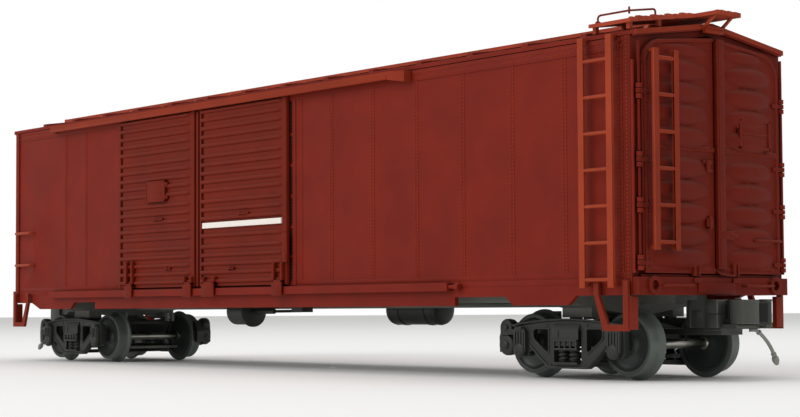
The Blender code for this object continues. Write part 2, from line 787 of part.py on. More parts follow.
def roof():
    half = SIDE_Y + ROOF_SIDE_OVERHANG
    reach = ROOF_END_X
    shapes = [plate("X", roof_section(0, ROOF_THICKNESS, half), -reach, reach)]
    for side in (-1, 1):
        low, high = sorted((side * reach, side * (reach - ROOF_END_LIP_LENGTH)))
        lip = roof_section(-ROOF_END_LIP, ROOF_THICKNESS + ROOF_END_LIP, half - BITE)
        shapes.append(plate("X", lip, low, high))
    for number in range(ROOF_RIBS):
        x = ROOF_RIB_FIRST_X + ROOF_RIB_PITCH * number
        section = roof_section(ROOF_RIB_HEIGHT, ROOF_THICKNESS / 2, half - BITE)
        shapes.append(plate("X", section, x - ROOF_RIB_WIDTH / 2, x + ROOF_RIB_WIDTH / 2))
    piece("roof", joined(*shapes), OXIDE_PAINT)


def end_outline():
    """An end's outline in Y and Z, up to the underside of the roof."""
    eave = EAVE_Z - ROOF_THICKNESS - SEAT_GAP
    ridge = eave + ROOF_RISE
    return [(-SIDE_Y, SILL_Z), (SIDE_Y, SILL_Z), (SIDE_Y, eave), (0, ridge), (-SIDE_Y, eave)]


def corner_flanges():
    """The vertical strips where an end wraps round onto the sides, for the +X end."""
    inner = SIDE_Y + SEAT_GAP
    outer = inner + CORNER_FLANGE_THICKNESS
    start = BODY_HALF - CORNER_FLANGE_LENGTH
    strips = []
    for side in (-1, 1):
        low, high = sorted((side * inner, side * outer))
        strips.append(((start, low, SILL_Z), (BODY_HALF, high, SIDE_TOP_Z)))
        low, high = sorted((side * (SIDE_Y - BITE), side * outer))
        strips.append(((INNER_END_X, low, SILL_Z), (BODY_HALF, high, SIDE_TOP_Z)))
    return [blocks(strips[0], strips[2]), blocks(strips[1], strips[3])]


def dart(x, y, z, length, height, depth):
    """The points of a pressed rib that tapers to both ends, standing out of a face at +X."""
    low = x - BITE
    half, shoulder = length / 2, length / 4
    rim = [(y - half, z), (y + half, z)]
    rim += [(y + a * shoulder, z + b * height / 2) for a in (-1, 1) for b in (-1, 1)]
    crest = [(x + depth, y + a * shoulder, z) for a in (-1, 1)]
    return [(low, *p) for p in rim] + [(x, *p) for p in rim] + crest


def plain_end():
    """Modelled at +X and turned half round to the plain end."""
    wall = plate("X", end_outline(), INNER_END_X, END_X)
    step = (END_RIB_HIGH_Z - END_RIB_LOW_Z) / (END_RIB_COUNT - 1)
    ribs = [
        dart(END_X, 0, END_RIB_LOW_Z + step * n, END_RIB_LENGTH, END_RIB_HEIGHT, END_RIB_DEPTH)
        for n in range(END_RIB_COUNT)
    ]
    grabs = [end_grab(END_X, END_GRAB_Y, z) for z in (GRAB_LOW_Z, GRAB_HIGH_Z)]
    shape = joined(wall, hulls(*ribs), *corner_flanges(), *grabs)
    piece("plain_end", shape, OXIDE_PAINT, place=HALF_TURN)


def end_door_top(half, side_top, peak, radius):
    """The right half of an end door opening's top edge, from the side up to the middle."""
    return arc((half - radius, side_top - radius), radius, 0, 90)[:-1] + [
        (half - radius, side_top), (0, peak)
    ]


def hinge_z(share):
    return END_DOOR_BOTTOM_Z + share * END_DOOR_HEIGHT


def hinge_lugs(side, on_frame):
    """One side's hinge knuckles and their arms: every other knuckle is the frame's."""
    share = HINGE_HEIGHT / HINGE_KNUCKLES
    trim = HINGE_LUG_GAP / 2
    knuckles, arms = [], []
    for place in END_HINGE_SHARES:
        low = hinge_z(place) - HINGE_HEIGHT / 2
        for number in range(0 if on_frame else 1, HINGE_KNUCKLES, 2):
            bottom, top = low + share * number + trim, low + share * (number + 1) - trim
            knuckles.append((
                (HINGE_AXIS_X, side * HINGE_AXIS_Y, bottom), (HINGE_AXIS_X, side * HINGE_AXIS_Y, top),
            ))
            if on_frame:
                start, end, inner = END_X + SEAT_GAP, HINGE_AXIS_X, SIDE_Y - HINGE_POST_WIDTH
            else:
                start, end = END_DOOR_FACE_X - BITE, HINGE_AXIS_X + HINGE_RADIUS / 2
                inner = END_DOOR_HALF - HINGE_STRAP
            left, right = sorted((side * inner, side * HINGE_AXIS_Y))
            arms.append(((start, left, bottom + trim), (end, right, top - trim)))
    return rods(HINGE_RADIUS, FINE_SIDES, *knuckles), blocks(*arms)


def hinge_posts():
    """The strips beside the end doors that carry the frame's halves of the hinges."""
    for name, side in (("left", -1), ("right", 1)):
        knuckles, arms = hinge_lugs(side, on_frame=True)
        start = END_X + SEAT_GAP
        outer = SIDE_Y + CORNER_FLANGE_THICKNESS + SEAT_GAP
        # Columns: inner Y and front X of the strip behind the knuckles and of the rib beside them
        table = [
            (HINGE_AXIS_Y - BITE, HINGE_AXIS_X - HINGE_RADIUS - HINGE_LUG_GAP),
            (HINGE_AXIS_Y + HINGE_RADIUS + SEAT_GAP, start + HINGE_POST_THICKNESS),
        ]
        strips = []
        for inner, front in table:
            left, right = sorted((side * inner, side * outer))
            strips.append(blocks(((start, left, END_DOOR_BOTTOM_Z), (front, right, HINGE_POST_TOP_Z))))
        piece("hinge_post_" + name, joined(*strips, arms, knuckles), OXIDE_PAINT)


def end_sills():
    """The sill across each end: poling pockets, grab irons, keepers and the coupler's striker."""
    start, face = END_X + SEAT_GAP, END_X + END_SILL_REACH
    half = SIDE_Y + CORNER_FLANGE_THICKNESS
    sill = blocks(((start, -half, SILL_Z), (face, half, END_SILL_TOP_Z)))
    striker = blocks((
        (face - BITE, -STRIKER_HALF, SILL_Z + BITE), (face + STRIKER_DEPTH, STRIKER_HALF, STRIKER_TOP_Z),
    ))
    keepers = blocks(*[
        (
            (face - BITE, y - KEEPER_WIDTH / 2, STRIKER_TOP_Z + SEAT_GAP),
            (face + KEEPER_DEPTH, y + KEEPER_WIDTH / 2, END_SILL_TOP_Z - BITE / 2),
        )
        for y in (-KEEPER_Y, KEEPER_Y)
    ])
    grabs = [end_grab(face, y, SILL_GRAB_Z, SILL_GRAB_REACH) for y in (-SILL_GRAB_Y, SILL_GRAB_Y)]
    rings, bores = [], []
    for y in (-POLING_POCKET_Y, POLING_POCKET_Y):
        inner = Vector((face - BITE, y, POLING_POCKET_Z))
        outer = Vector((face + POLING_POCKET_DEPTH, y, POLING_POCKET_Z))
        rings.append((inner, outer))
        bores.append((inner, outer + Vector((OVERRUN, 0, 0))))
    pockets = rods(POLING_POCKET_RADIUS, TRUCK_SIDES, *rings)
    shape = cut(joined(sill, striker, keepers, *grabs, pockets), rods(POLING_POCKET_BORE, TRUCK_SIDES, *bores))
    near = piece("end_sill_door_end", shape, OXIDE_PAINT)
    copied("end_sill_plain_end", near, HALF_TURN)


def door_end_frame():
    """The frame round the end doors: two posts, a header with rounded corners, a low threshold."""
    right = [(END_OPENING_HALF, FLOOR_TOP_Z)] + end_door_top(
        END_OPENING_HALF, END_OPENING_TOP_Z, END_OPENING_TOP_Z + ROOF_SLOPE * END_OPENING_HALF,
        END_OPENING_RADIUS,
    )
    wall = plate("X", end_outline(), INNER_END_X, END_X, holes=[mirrored(right)])
    piece("door_end_frame", joined(wall, *corner_flanges()), OXIDE_PAINT)


def floor_plate():
    reach = INNER_END_X - SEAT_GAP
    half = SIDE_Y - WALL - SEAT_GAP
    low, high = FLOOR_TOP_Z - FLOOR_THICKNESS, FLOOR_TOP_Z
    piece("floor", blocks(((-reach, -half, low), (reach, half, high))), GREY_METAL)


def cross_beam(x, length, seat, seat_z, tip_z, top):
    """A beam across the car at X: deep for seat each way from the middle, shallow at the sides."""
    side = SIDE_Y - WALL - SEAT_GAP
    outline = [(-side, top), (-side, tip_z), (-seat, seat_z), (seat, seat_z), (side, tip_z), (side, top)]
    return plate("X", outline, x - length / 2, x + length / 2)


def underframe():
    """Centre sill, side stringers, cross bearers and the two body bolsters, under the floor."""
    top = FLOOR_TOP_Z - FLOOR_THICKNESS - SEAT_GAP
    reach = BODY_HALF - CENTRE_SILL_END
    half = CENTRE_SILL_WIDTH / 2
    shapes = [
        blocks(((-reach, -half, CENTRE_SILL_Z), (reach, half, top))),
        blocks((
            (-SIDE_STRINGER_HALF, -CENTRE_FLANGE_WIDTH / 2, CENTRE_SILL_Z - CENTRE_FLANGE_THICKNESS),
            (SIDE_STRINGER_HALF, CENTRE_FLANGE_WIDTH / 2, CENTRE_SILL_Z + BITE),
        )),
    ]
    stringers = [
        (
            (-SIDE_STRINGER_HALF, y - SIDE_STRINGER_WIDTH / 2, SIDE_STRINGER_Z),
            (SIDE_STRINGER_HALF, y + SIDE_STRINGER_WIDTH / 2, top),
        )
        for y in (-SIDE_STRINGER_Y, SIDE_STRINGER_Y)
    ]
    shapes.append(blocks(*stringers))
    for share in CROSS_BEARER_SHARES:
        tip = top - SIDE_STRINGER_WIDTH
        shapes.append(cross_beam(share * BODY_HALF, CROSS_BEARER_WIDTH, half, CROSS_BEARER_Z, tip, top))
    bore_top = CENTRE_PLATE_TOP_Z + SEAT_GAP + PIVOT_RISE
    bores, bearings = [], []
    for x in (-TRUCK_X, TRUCK_X):
        shapes.append(cross_beam(
            x, BODY_BOLSTER_LENGTH, BODY_BOLSTER_SEAT, BODY_BOLSTER_Z, BODY_BOLSTER_TIP_Z, top,
        ))
        bores.append(((x, 0, BODY_BOLSTER_Z - OVERRUN), (x, 0, bore_top + SEAT_GAP)))
        length = BODY_BOLSTER_LENGTH / 2 - BITE
        for y in (-SIDE_BEARING_Y, SIDE_BEARING_Y):
            low = Vector((x - length, y - SIDE_BEARING_WIDTH / 2, SIDE_BEARING_Z))
            bearings.append((low, Vector((x + length, y + SIDE_BEARING_WIDTH / 2, top - BITE))))
    shapes.append(blocks(*bearings))
    shape = cut(joined(*shapes), rods(PIVOT_RADIUS + SEAT_GAP, TRUCK_SIDES, *bores))
    piece("underframe", shape, GREY_METAL)


# Side doors and tracks


def rib_places():
    """Z of each rib of a side door, in groups set a little further apart."""
    group = DOOR_RIB_PITCH * (DOOR_RIBS_IN_GROUP - 1) + DOOR_RIB_GROUP_GAP
    return [
        LOWEST_RIB_Z + group * number + DOOR_RIB_PITCH * rib
        for number in range(DOOR_RIB_GROUPS)
        for rib in range(DOOR_RIBS_IN_GROUP)
    ]


def corrugation(left, right):
    """The ribs of a door as one sheet: its section in Y and Z, drawn out along X."""
    back = -DOOR_OUTER_Y + BITE
    face = -DOOR_OUTER_Y - DOOR_FRAME_HEIGHT / 2
    crest = -DOOR_OUTER_Y - DOOR_RIB_HEIGHT
    section = [(back, DOOR_BOTTOM_Z + DOOR_FRAME_HEIGHT)]
    section.append((face, DOOR_BOTTOM_Z + DOOR_FRAME_HEIGHT))
    for z in rib_places():
        half = DOOR_RIB_WIDTH / 2
        section += [(face, z - half), (crest, z - half / 2), (crest, z + half / 2), (face, z + half)]
    section += [(face, DOOR_TOP_Z - DOOR_FRAME_HEIGHT), (back, DOOR_TOP_Z - DOOR_FRAME_HEIGHT)]
    return plate("X", section, left + DOOR_FRAME, right - DOOR_FRAME)


def side_door(left, width, shoe_shares, pull_shares, hatch):
    """A sliding door: sheet, edge frame, ribs, hangers behind the upper track, shoes below.

    The one with a hatch has no lock bar; the other's lies over its free edge.
    """
    right, height = left + width, DOOR_TOP_Z - DOOR_BOTTOM_Z
    back, face = -DOOR_INNER_Y, -DOOR_OUTER_Y
    front = face - DOOR_FRAME_HEIGHT
    crest = face - DOOR_RIB_HEIGHT
    sheet = blocks(((left, face, DOOR_BOTTOM_Z), (right, back, DOOR_TOP_Z)))
    edges = [
        ((x, front, DOOR_BOTTOM_Z), (x + DOOR_FRAME, face + BITE, DOOR_TOP_Z))
        for x in (left, right - DOOR_FRAME)
    ]
    hangers = []
    for share in HANGER_SHARES:
        x = left + share * width
        low = (x - HANGER_WIDTH / 2, face, DOOR_TOP_Z - BITE)
        hangers.append((low, (x + HANGER_WIDTH / 2, back, DOOR_TOP_Z + HANGER_RISE)))
    shoe_back = -SIDE_Y - SEAT_GAP - LOWER_TRACK_REACH - RUN_GAP
    guides, brackets = [], []
    for middle, span, rise in shoe_shares:
        start, end = (left + width * (middle + side * span / 2) for side in (-1, 1))
        top = DOOR_BOTTOM_Z + height * rise
        guides.append(((start, shoe_back - TRACK_THICKNESS, DOOR_BOTTOM_Z - SHOE_DROP), (end, shoe_back, top)))
        brackets.append((
            (start, shoe_back - TRACK_THICKNESS / 2, DOOR_BOTTOM_Z + BITE), (end, face + BITE, top),
        ))
    pulls = []
    for across, up, span in pull_shares:
        start, end = (left + width * (across + side * span / 2) for side in (-1, 1))
        z = DOOR_BOTTOM_Z + height * up
        pulls.append(((start, crest - PULL_DEPTH, z), (end, face + BITE, z + PULL_HEIGHT)))
    shapes = [sheet, corrugation(left, right), blocks(*edges), blocks(*hangers)]
    shapes += [blocks(*guides), blocks(*brackets), blocks(*pulls)]
    if hatch:
        x = left + HATCH_SHARE_X * width
        z = DOOR_BOTTOM_Z + HATCH_SHARE_Z * height
        shapes.append(blocks((
            (x - HATCH_WIDTH / 2, crest - HATCH_THICKNESS, z - HATCH_HEIGHT / 2),
            (x + HATCH_WIDTH / 2, face + BITE, z + HATCH_HEIGHT / 2),
        )))
    else:
        low, high = (DOOR_BOTTOM_Z + height * share for share in LOCK_BAR_SHARES)
        end = right + LOCK_BAR_LAP
        shapes.append(blocks((
            (end - LOCK_BAR_WIDTH, front - LOCK_BAR_DEPTH, low), (end, face + BITE / 2, high),
        )))
    return joined(*shapes)


def side_doors():
    auxiliary = side_door(AUX_DOOR_X, AUX_DOOR_WIDTH, AUX_SHOE_SHARES, AUX_PULL_SHARES, hatch=True)
    main_one = side_door(MAIN_DOOR_X, MAIN_DOOR_WIDTH, MAIN_SHOE_SHARES, MAIN_PULL_SHARES, hatch=False)
    both_sides("auxiliary_door", auxiliary, OXIDE_PAINT)
    both_sides("main_door", main_one, OXIDE_PAINT)


def door_tracks():
    """The upper track is a hood over the doors' hangers, the lower one a bar beneath them."""
    wall = -SIDE_Y - SEAT_GAP - SEAM_HEIGHT
    front = wall - UPPER_TRACK_REACH
    top = UPPER_TRACK_TOP_Z
    low = top - UPPER_TRACK_LIP
    hood = blocks(((UPPER_TRACK_FROM, front, top - TRACK_THICKNESS), (UPPER_TRACK_TO, wall, top)))
    lip = blocks((
        (UPPER_TRACK_FROM, front, low),
        (UPPER_TRACK_TO, front + TRACK_THICKNESS, top - TRACK_THICKNESS / 2),
    ))
    end = UPPER_TRACK_TO + TRACK_STOP_LENGTH
    bracket = plate("Y", [
        (UPPER_TRACK_TO - BITE, low), (end, low - TRACK_STOP_DROP), (end, top - BITE),
        (UPPER_TRACK_TO - BITE, top),
    ], front, wall)
    cap = blocks(((UPPER_TRACK_FROM - TRACK_THICKNESS, front, low), (UPPER_TRACK_FROM + BITE, wall, top)))
    both_sides("upper_door_track", joined(hood, lip, bracket, cap), BRIGHT_OXIDE)
    wall = -SIDE_Y - SEAT_GAP
    front = wall - LOWER_TRACK_REACH
    low, high = LOWER_TRACK_TOP_Z - LOWER_TRACK_HEIGHT, LOWER_TRACK_TOP_Z
    bar = blocks(((LOWER_TRACK_FROM, front, low), (LOWER_TRACK_TO, wall, high)))
    middle = (-SIDE_Y - SEAT_GAP - LOWER_STOP_HEAD, (low + high) / 2)
    tip = LOWER_TRACK_TO + LOWER_STOP_LENGTH
    bolt = rods(LOWER_STOP_RADIUS, ROD_SIDES, ((LOWER_TRACK_TO - BITE, *middle), (tip - BITE, *middle)))
    head = rods(LOWER_STOP_HEAD, FINE_SIDES, ((tip - LOWER_STOP_HEAD_LENGTH, *middle), (tip, *middle)))
    both_sides("lower_door_track", joined(bar, bolt, head), OXIDE_PAINT)


# End doors


def door_half_outline(side, meeting):
    """One end door's outline in Y and Z, from its lower meeting corner round to its top one."""
    peak = END_DOOR_PEAK_Z
    top = end_door_top(END_DOOR_HALF, END_DOOR_SIDE_TOP_Z, peak, END_DOOR_RADIUS)[:-1]
    points = [(abs(meeting), END_DOOR_BOTTOM_Z), (END_DOOR_HALF, END_DOOR_BOTTOM_Z)] + top
    points.append((abs(meeting), peak))
    if side > 0:
        return points
    shifted = [(-y, z) for y, z in points]
    shifted[0] = (meeting, END_DOOR_BOTTOM_Z)
    shifted[-1] = (meeting, peak)
    return shifted


def pleats(inner, outer):
    """The tapered ribs of one end door, two rows with a riveted seam between them."""
    length = outer - inner
    middle = (outer + inner) / 2
    shares = PLEAT_UPPER_SHARES + PLEAT_LOWER_SHARES
    return [
        dart(END_DOOR_FACE_X, middle, hinge_z(share), length, PLEAT_HEIGHT, PLEAT_DEPTH)
        for share in shares
    ]


def door_rim(side, meeting):
    """The raised edge round an end door's outer side and its arched top."""
    outer = door_half_outline(side, meeting)[1:]
    foot, head = outer[0], outer[-1]
    inner = [
        (y - side * DOOR_RIM, z) if z <= END_DOOR_SIDE_TOP_Z - END_DOOR_RADIUS else
        (y - side * DOOR_RIM / math.sqrt(2), z - DOOR_RIM)
        for y, z in outer[1:-1]
    ]
    outline = outer + [(head[0], head[1] - DOOR_RIM)] + inner[::-1] + [(foot[0] - side * DOOR_RIM, foot[1])]
    return plate("X", outline, END_DOOR_FACE_X - BITE / 2, END_DOOR_FACE_X + DOOR_RIM_HEIGHT)


def end_door(side):
    """The left door (side -1) carries a ladder, the right one the astragal, a hatch and a grab iron."""
    meeting = END_DOOR_MEETING_Y - RUN_GAP if side < 0 else END_DOOR_MEETING_Y
    face = END_DOOR_FACE_X
    sheet = plate("X", door_half_outline(side, meeting), END_DOOR_X, face)
    margin = ASTRAGAL_WIDTH if side > 0 else 0
    inner = meeting + side * (PLEAT_MARGIN / 2 + margin)
    outer = side * (END_DOOR_HALF - PLEAT_MARGIN)
    low, high = sorted((inner, outer))
    seam_z = hinge_z(DOOR_SEAM_SHARE)
    raised = [(
        (face - BITE, low, seam_z - DOOR_SEAM_HEIGHT / 2),
        (face + DOOR_SEAM_DEPTH, high, seam_z + DOOR_SEAM_HEIGHT / 2),
    )]
    for near, far, bottom, top in LEFT_LATCH_PLACES if side < 0 else RIGHT_LATCH_PLACES:
        left, right = sorted((near, far))
        raised.append(((face - BITE, left, hinge_z(bottom)), (face + LATCH_DEPTH, right, hinge_z(top))))
    y = side * KEEPER_Y
    foot = (face - BITE, y - KEEPER_WIDTH / 2, END_SILL_TOP_Z + RUN_GAP)
    raised.append((foot, (face + KEEPER_DEPTH, y + KEEPER_WIDTH / 2, END_DOOR_BOTTOM_Z + KEEPER_RISE)))
    bead_y = side * (END_DOOR_HALF + DOOR_BEAD_OUT)
    bead = rods(DOOR_BEAD_RADIUS, ROD_SIDES, (
        (face - DOOR_BEAD_OUT, bead_y, END_DOOR_BOTTOM_Z + DOOR_RIM),
        (face - DOOR_BEAD_OUT, bead_y, END_DOOR_SIDE_TOP_Z - END_DOOR_RADIUS),
    ))
    knuckles, arms = hinge_lugs(side, on_frame=False)
    shapes = [sheet, door_rim(side, meeting), bead, hulls(*pleats(low, high))]
    shapes += [blocks(solid) for solid in raised]
    if side > 0:
        shapes.append(blocks((
            (face - BITE, meeting, END_DOOR_BOTTOM_Z + END_DOOR_THICKNESS),
            (face + ASTRAGAL_DEPTH, meeting + ASTRAGAL_WIDTH, END_DOOR_PEAK_Z),
        )))
        bottom = seam_z + DOOR_SEAM_HEIGHT / 2 + DOOR_SEAM_DEPTH
        shapes.append(blocks((
            (face - BITE, END_HATCH_Y - END_HATCH_WIDTH / 2, bottom),
            (face + END_HATCH_THICKNESS, END_HATCH_Y + END_HATCH_WIDTH / 2, bottom + END_HATCH_HEIGHT),
        )))
        shapes.append(end_grab(face, DOOR_GRAB_Y, GRAB_LOW_Z))
    return joined(*shapes, arms, knuckles)


def end_doors():
    for name, side in (("left", -1), ("right", 1)):
        axis = Vector((HINGE_AXIS_X, side * HINGE_AXIS_Y, 0))
        hinge = pivot("end_door_hinge_" + name, Matrix.Translation(axis))
        back = Matrix.Translation(-axis)
        piece("end_door_" + name, end_door(side), OXIDE_PAINT, place=back, parent=hinge)
        if side < 0:
            piece("end_door_ladder", end_ladder(END_DOOR_FACE_X + PLEAT_DEPTH), BRIGHT_OXIDE,
                  place=back, parent=hinge)


# Ladders, stirrups and brake wheel


def rung_places(first, count):
    return [LOWEST_RUNG_Z + RUNG_PITCH * (first + number) for number in range(count)]


def side_ladder():
    """Two stiles, rungs and the feet that hold it off the side."""
    wall = -SIDE_Y - CORNER_FLANGE_THICKNESS - SEAT_GAP
    front = wall - SIDE_LADDER_REACH
    left = SIDE_LADDER_X - SIDE_LADDER_WIDTH / 2
    right = left + SIDE_LADDER_WIDTH - STILE_WIDTH
    stiles, feet = [], []
    for x in (left, right):
        high = (x + STILE_WIDTH, front + STILE_DEPTH, SIDE_LADDER_TOP_Z)
        stiles.append(((x, front, SIDE_LADDER_BOTTOM_Z), high))
        for z in (SIDE_LADDER_BOTTOM_Z, SIDE_LADDER_TOP_Z - LADDER_FOOT):
            feet.append(((x + BITE, front + BITE, z + BITE), (x + STILE_WIDTH - BITE, wall, z + LADDER_FOOT)))
    middle = front + STILE_DEPTH / 2
    rungs = [
        ((left + BITE, middle, z), (right + STILE_WIDTH - BITE, middle, z))
        for z in rung_places(0, SIDE_LADDER_RUNGS)
    ]
    return joined(blocks(*stiles), blocks(*feet), rods(RUNG_RADIUS, FINE_SIDES, *rungs))


def end_ladder(wall):
    """The ladder on an end: wall is the X of the face that its feet reach."""
    back = wall + SEAT_GAP
    front = back + END_LADDER_REACH
    left = -END_LADDER_Y - END_LADDER_WIDTH / 2
    right = left + END_LADDER_WIDTH - STILE_WIDTH
    stiles, feet = [], []
    for y in (left, right):
        low = (front - STILE_DEPTH, y, END_LADDER_BOTTOM_Z)
        stiles.append((low, (front, y + STILE_WIDTH, END_LADDER_TOP_Z)))
        for z in (END_LADDER_BOTTOM_Z, END_LADDER_TOP_Z - LADDER_FOOT):
            feet.append(((back, y + BITE, z + BITE), (front - BITE, y + STILE_WIDTH - BITE, z + LADDER_FOOT)))
    middle = front - STILE_DEPTH / 2
    rungs = [
        ((middle, left + BITE, z), (middle, right + STILE_WIDTH - BITE, z))
        for z in rung_places(1, END_LADDER_RUNGS)
    ]
    return joined(blocks(*stiles), blocks(*feet), rods(RUNG_RADIUS, FINE_SIDES, *rungs))


def stirrup():
    """A strap step in X and Z at the near corner of the +X end, its outer leg turned round the corner."""
    out = -SIDE_Y - CORNER_FLANGE_THICKNESS - 2 * SEAT_GAP
    bar = STIRRUP_BAR
    outline = [
        (STIRRUP_FROM, STIRRUP_TOP_Z), (STIRRUP_FROM, SILL_Z), (STIRRUP_FOOT_FROM, STIRRUP_BOTTOM_Z),
        (STIRRUP_TO, STIRRUP_BOTTOM_Z), (STIRRUP_TO, STIRRUP_TOP_Z), (STIRRUP_TO - bar, STIRRUP_TOP_Z),
        (STIRRUP_TO - bar, STIRRUP_BOTTOM_Z + bar), (STIRRUP_FOOT_FROM + bar, STIRRUP_BOTTOM_Z + bar),
        (STIRRUP_FROM + bar, SILL_Z), (STIRRUP_FROM + bar, STIRRUP_TOP_Z),
    ]
    turn = blocks((
        (STIRRUP_TO - STIRRUP_THICKNESS, out - STIRRUP_THICKNESS / 2, STIRRUP_BOTTOM_Z + BITE),
        (STIRRUP_TO + BITE, out + STIRRUP_WRAP, SILL_Z - RUN_GAP),
    ))
    return joined(plate("Y", outline, out - STIRRUP_THICKNESS, out), turn)


def stirrups():
    mirror = Matrix.Diagonal((1, -1, 1, 1))
    near = piece("stirrup_door_end_near", stirrup(), BRIGHT_OXIDE)
    copied("stirrup_plain_end_far", near, HALF_TURN)
    other = stirrup()
    other.data.transform(mirror)
    other.data.flip_normals()
    far = piece("stirrup_door_end_far", other, BRIGHT_OXIDE)
    copied("stirrup_plain_end_near", far, HALF_TURN)


def brake_wheel():
    """A spoked hand wheel square to Z, with a hub that reaches back to the brake's housing."""
    ring = BRAKE_WHEEL_RADIUS - BRAKE_WHEEL_RIM
    half_step = 180 / TRUCK_SIDES
    rim = [
        (*point, 0) for point in arc((0, 0), ring, half_step, half_step + 360, steps=TRUCK_SIDES)[:-1]
    ]
    spokes = [(*point, 0) for point in arc((0, 0), ring, 0, 360, steps=BRAKE_WHEEL_SPOKES)[:-1]]
    wheel = bent_wire(rim, BRAKE_WHEEL_RIM, closed=True)
    for end in spokes:
        wheel = joined(wheel, rods(BRAKE_WHEEL_RIM * BRAKE_SPOKE_SHARE, SPOKE_SIDES, ((0, 0, 0), end)))
    hub_back = BRAKE_HOUSING_DEPTH + SEAT_GAP - BRAKE_WHEEL_REACH
    return joined(wheel, rods(BRAKE_WHEEL_HUB, ROD_SIDES, ((0, 0, hub_back), (0, 0, BRAKE_WHEEL_RIM))))


def brake_gear():
    """Hand brake of the plain end, modelled at +X: housing, wheel on its shaft, and step."""
    wall = END_X + END_RIB_DEPTH + SEAT_GAP
    y, z = -BRAKE_WHEEL_Y, BRAKE_WHEEL_Z
    housing = hulls([
        (wall + d * BRAKE_HOUSING_DEPTH, y + a * BRAKE_HOUSING_HALF * w, z + b * BRAKE_HOUSING_RISE * w)
        for d, w in ((0, 1), (1, BRAKE_HOUSING_TAPER_SHARE)) for a in (-1, 1) for b in (-1, 1)
    ])
    piece("brake_housing", housing, OXIDE_PAINT, place=HALF_TURN)
    wheel = brake_wheel()
    quarter = Matrix.Rotation(math.pi / 2, 4, "Y")
    wheel.data.transform(Matrix.Translation((wall + BRAKE_WHEEL_REACH, y, z)) @ quarter)
    piece("brake_wheel", wheel, OXIDE_PAINT, place=HALF_TURN)
    half, low = BRAKE_STEP_HALF, BRAKE_STEP_Z
    board = blocks(((wall, y - half, low), (wall + BRAKE_STEP_DEPTH, y + half, low + BRAKE_STEP_THICKNESS)))
    brackets = [
        plate("Y", [
            (wall, low + BITE), (wall + BRAKE_STEP_DEPTH, low + BITE), (wall, low - BRAKE_STEP_BRACKET),
        ], at - BRAKE_STEP_THICKNESS / 2, at + BRAKE_STEP_THICKNESS / 2)
        for at in (y - half / 2, y + half / 2)
    ]
    piece("brake_step", joined(board, *brackets), BRIGHT_OXIDE, place=HALF_TURN)


# Roof walk


def end_braces(low):
    """Struts from the roof's ends up to the overhanging ends of the running board."""
    wall = ROOF_END_X + SEAT_GAP
    foot = roof_top_z(END_BRACE_Y) - END_BRACE_DROP
    tip = RUNNING_BOARD_HALF - END_BRACE_INSET
    width = END_BRACE_WIDTH
    outline = [(wall, foot), (wall, foot - width), (tip, low + BITE), (tip - width, low + BITE)]
    braces = []
    for y in (-END_BRACE_Y, END_BRACE_Y):
        braces.append(plate("Y", outline, y - width / 2, y + width / 2))
        turned_end = [(-x, z) for x, z in outline]
        braces.append(plate("Y", turned_end, y - width / 2, y + width / 2))
    return braces


def running_board():
    """Three planks lengthways on saddles that stand on the roof's ribs."""
    half = RUNNING_BOARD_WIDTH / 2
    low = RUNNING_BOARD_TOP_Z - RUNNING_BOARD_THICKNESS
    board = blocks((
        (-RUNNING_BOARD_HALF, -half, low), (RUNNING_BOARD_HALF, half, RUNNING_BOARD_TOP_Z),
    ))
    plank = RUNNING_BOARD_WIDTH / RUNNING_PLANKS
    grooves = []
    for number in range(1, RUNNING_PLANKS):
        y = -half + plank * number
        grooves.append((
            (-RUNNING_BOARD_HALF - OVERRUN, y - PLANK_GROOVE / 2, RUNNING_BOARD_TOP_Z - PLANK_GROOVE),
            (RUNNING_BOARD_HALF + OVERRUN, y + PLANK_GROOVE / 2, RUNNING_BOARD_TOP_Z + OVERRUN),
        ))
    board = cut(board, blocks(*grooves))
    saddles = []
    foot = half + SADDLE_SPREAD
    for number in range(ROOF_RIBS):
        x = ROOF_RIB_FIRST_X + ROOF_RIB_PITCH * number
        lift = ROOF_RIB_HEIGHT + SEAT_GAP
        outline = [
            (-half, low + BITE), (half, low + BITE), (foot, roof_top_z(foot) + lift),
            (0, roof_top_z(0) + lift), (-foot, roof_top_z(foot) + lift),
        ]
        saddles.append(plate("X", outline, x - SADDLE_WIDTH / 2, x + SADDLE_WIDTH / 2))
    piece("running_board", joined(board, *saddles, *end_braces(low)), BRIGHT_OXIDE)


def corner_board_z(y):
    """Underside of a corner board, which follows the roof's slope."""
    return roof_top_z(y) + CORNER_BOARD_LIFT - CORNER_BOARD_THICKNESS


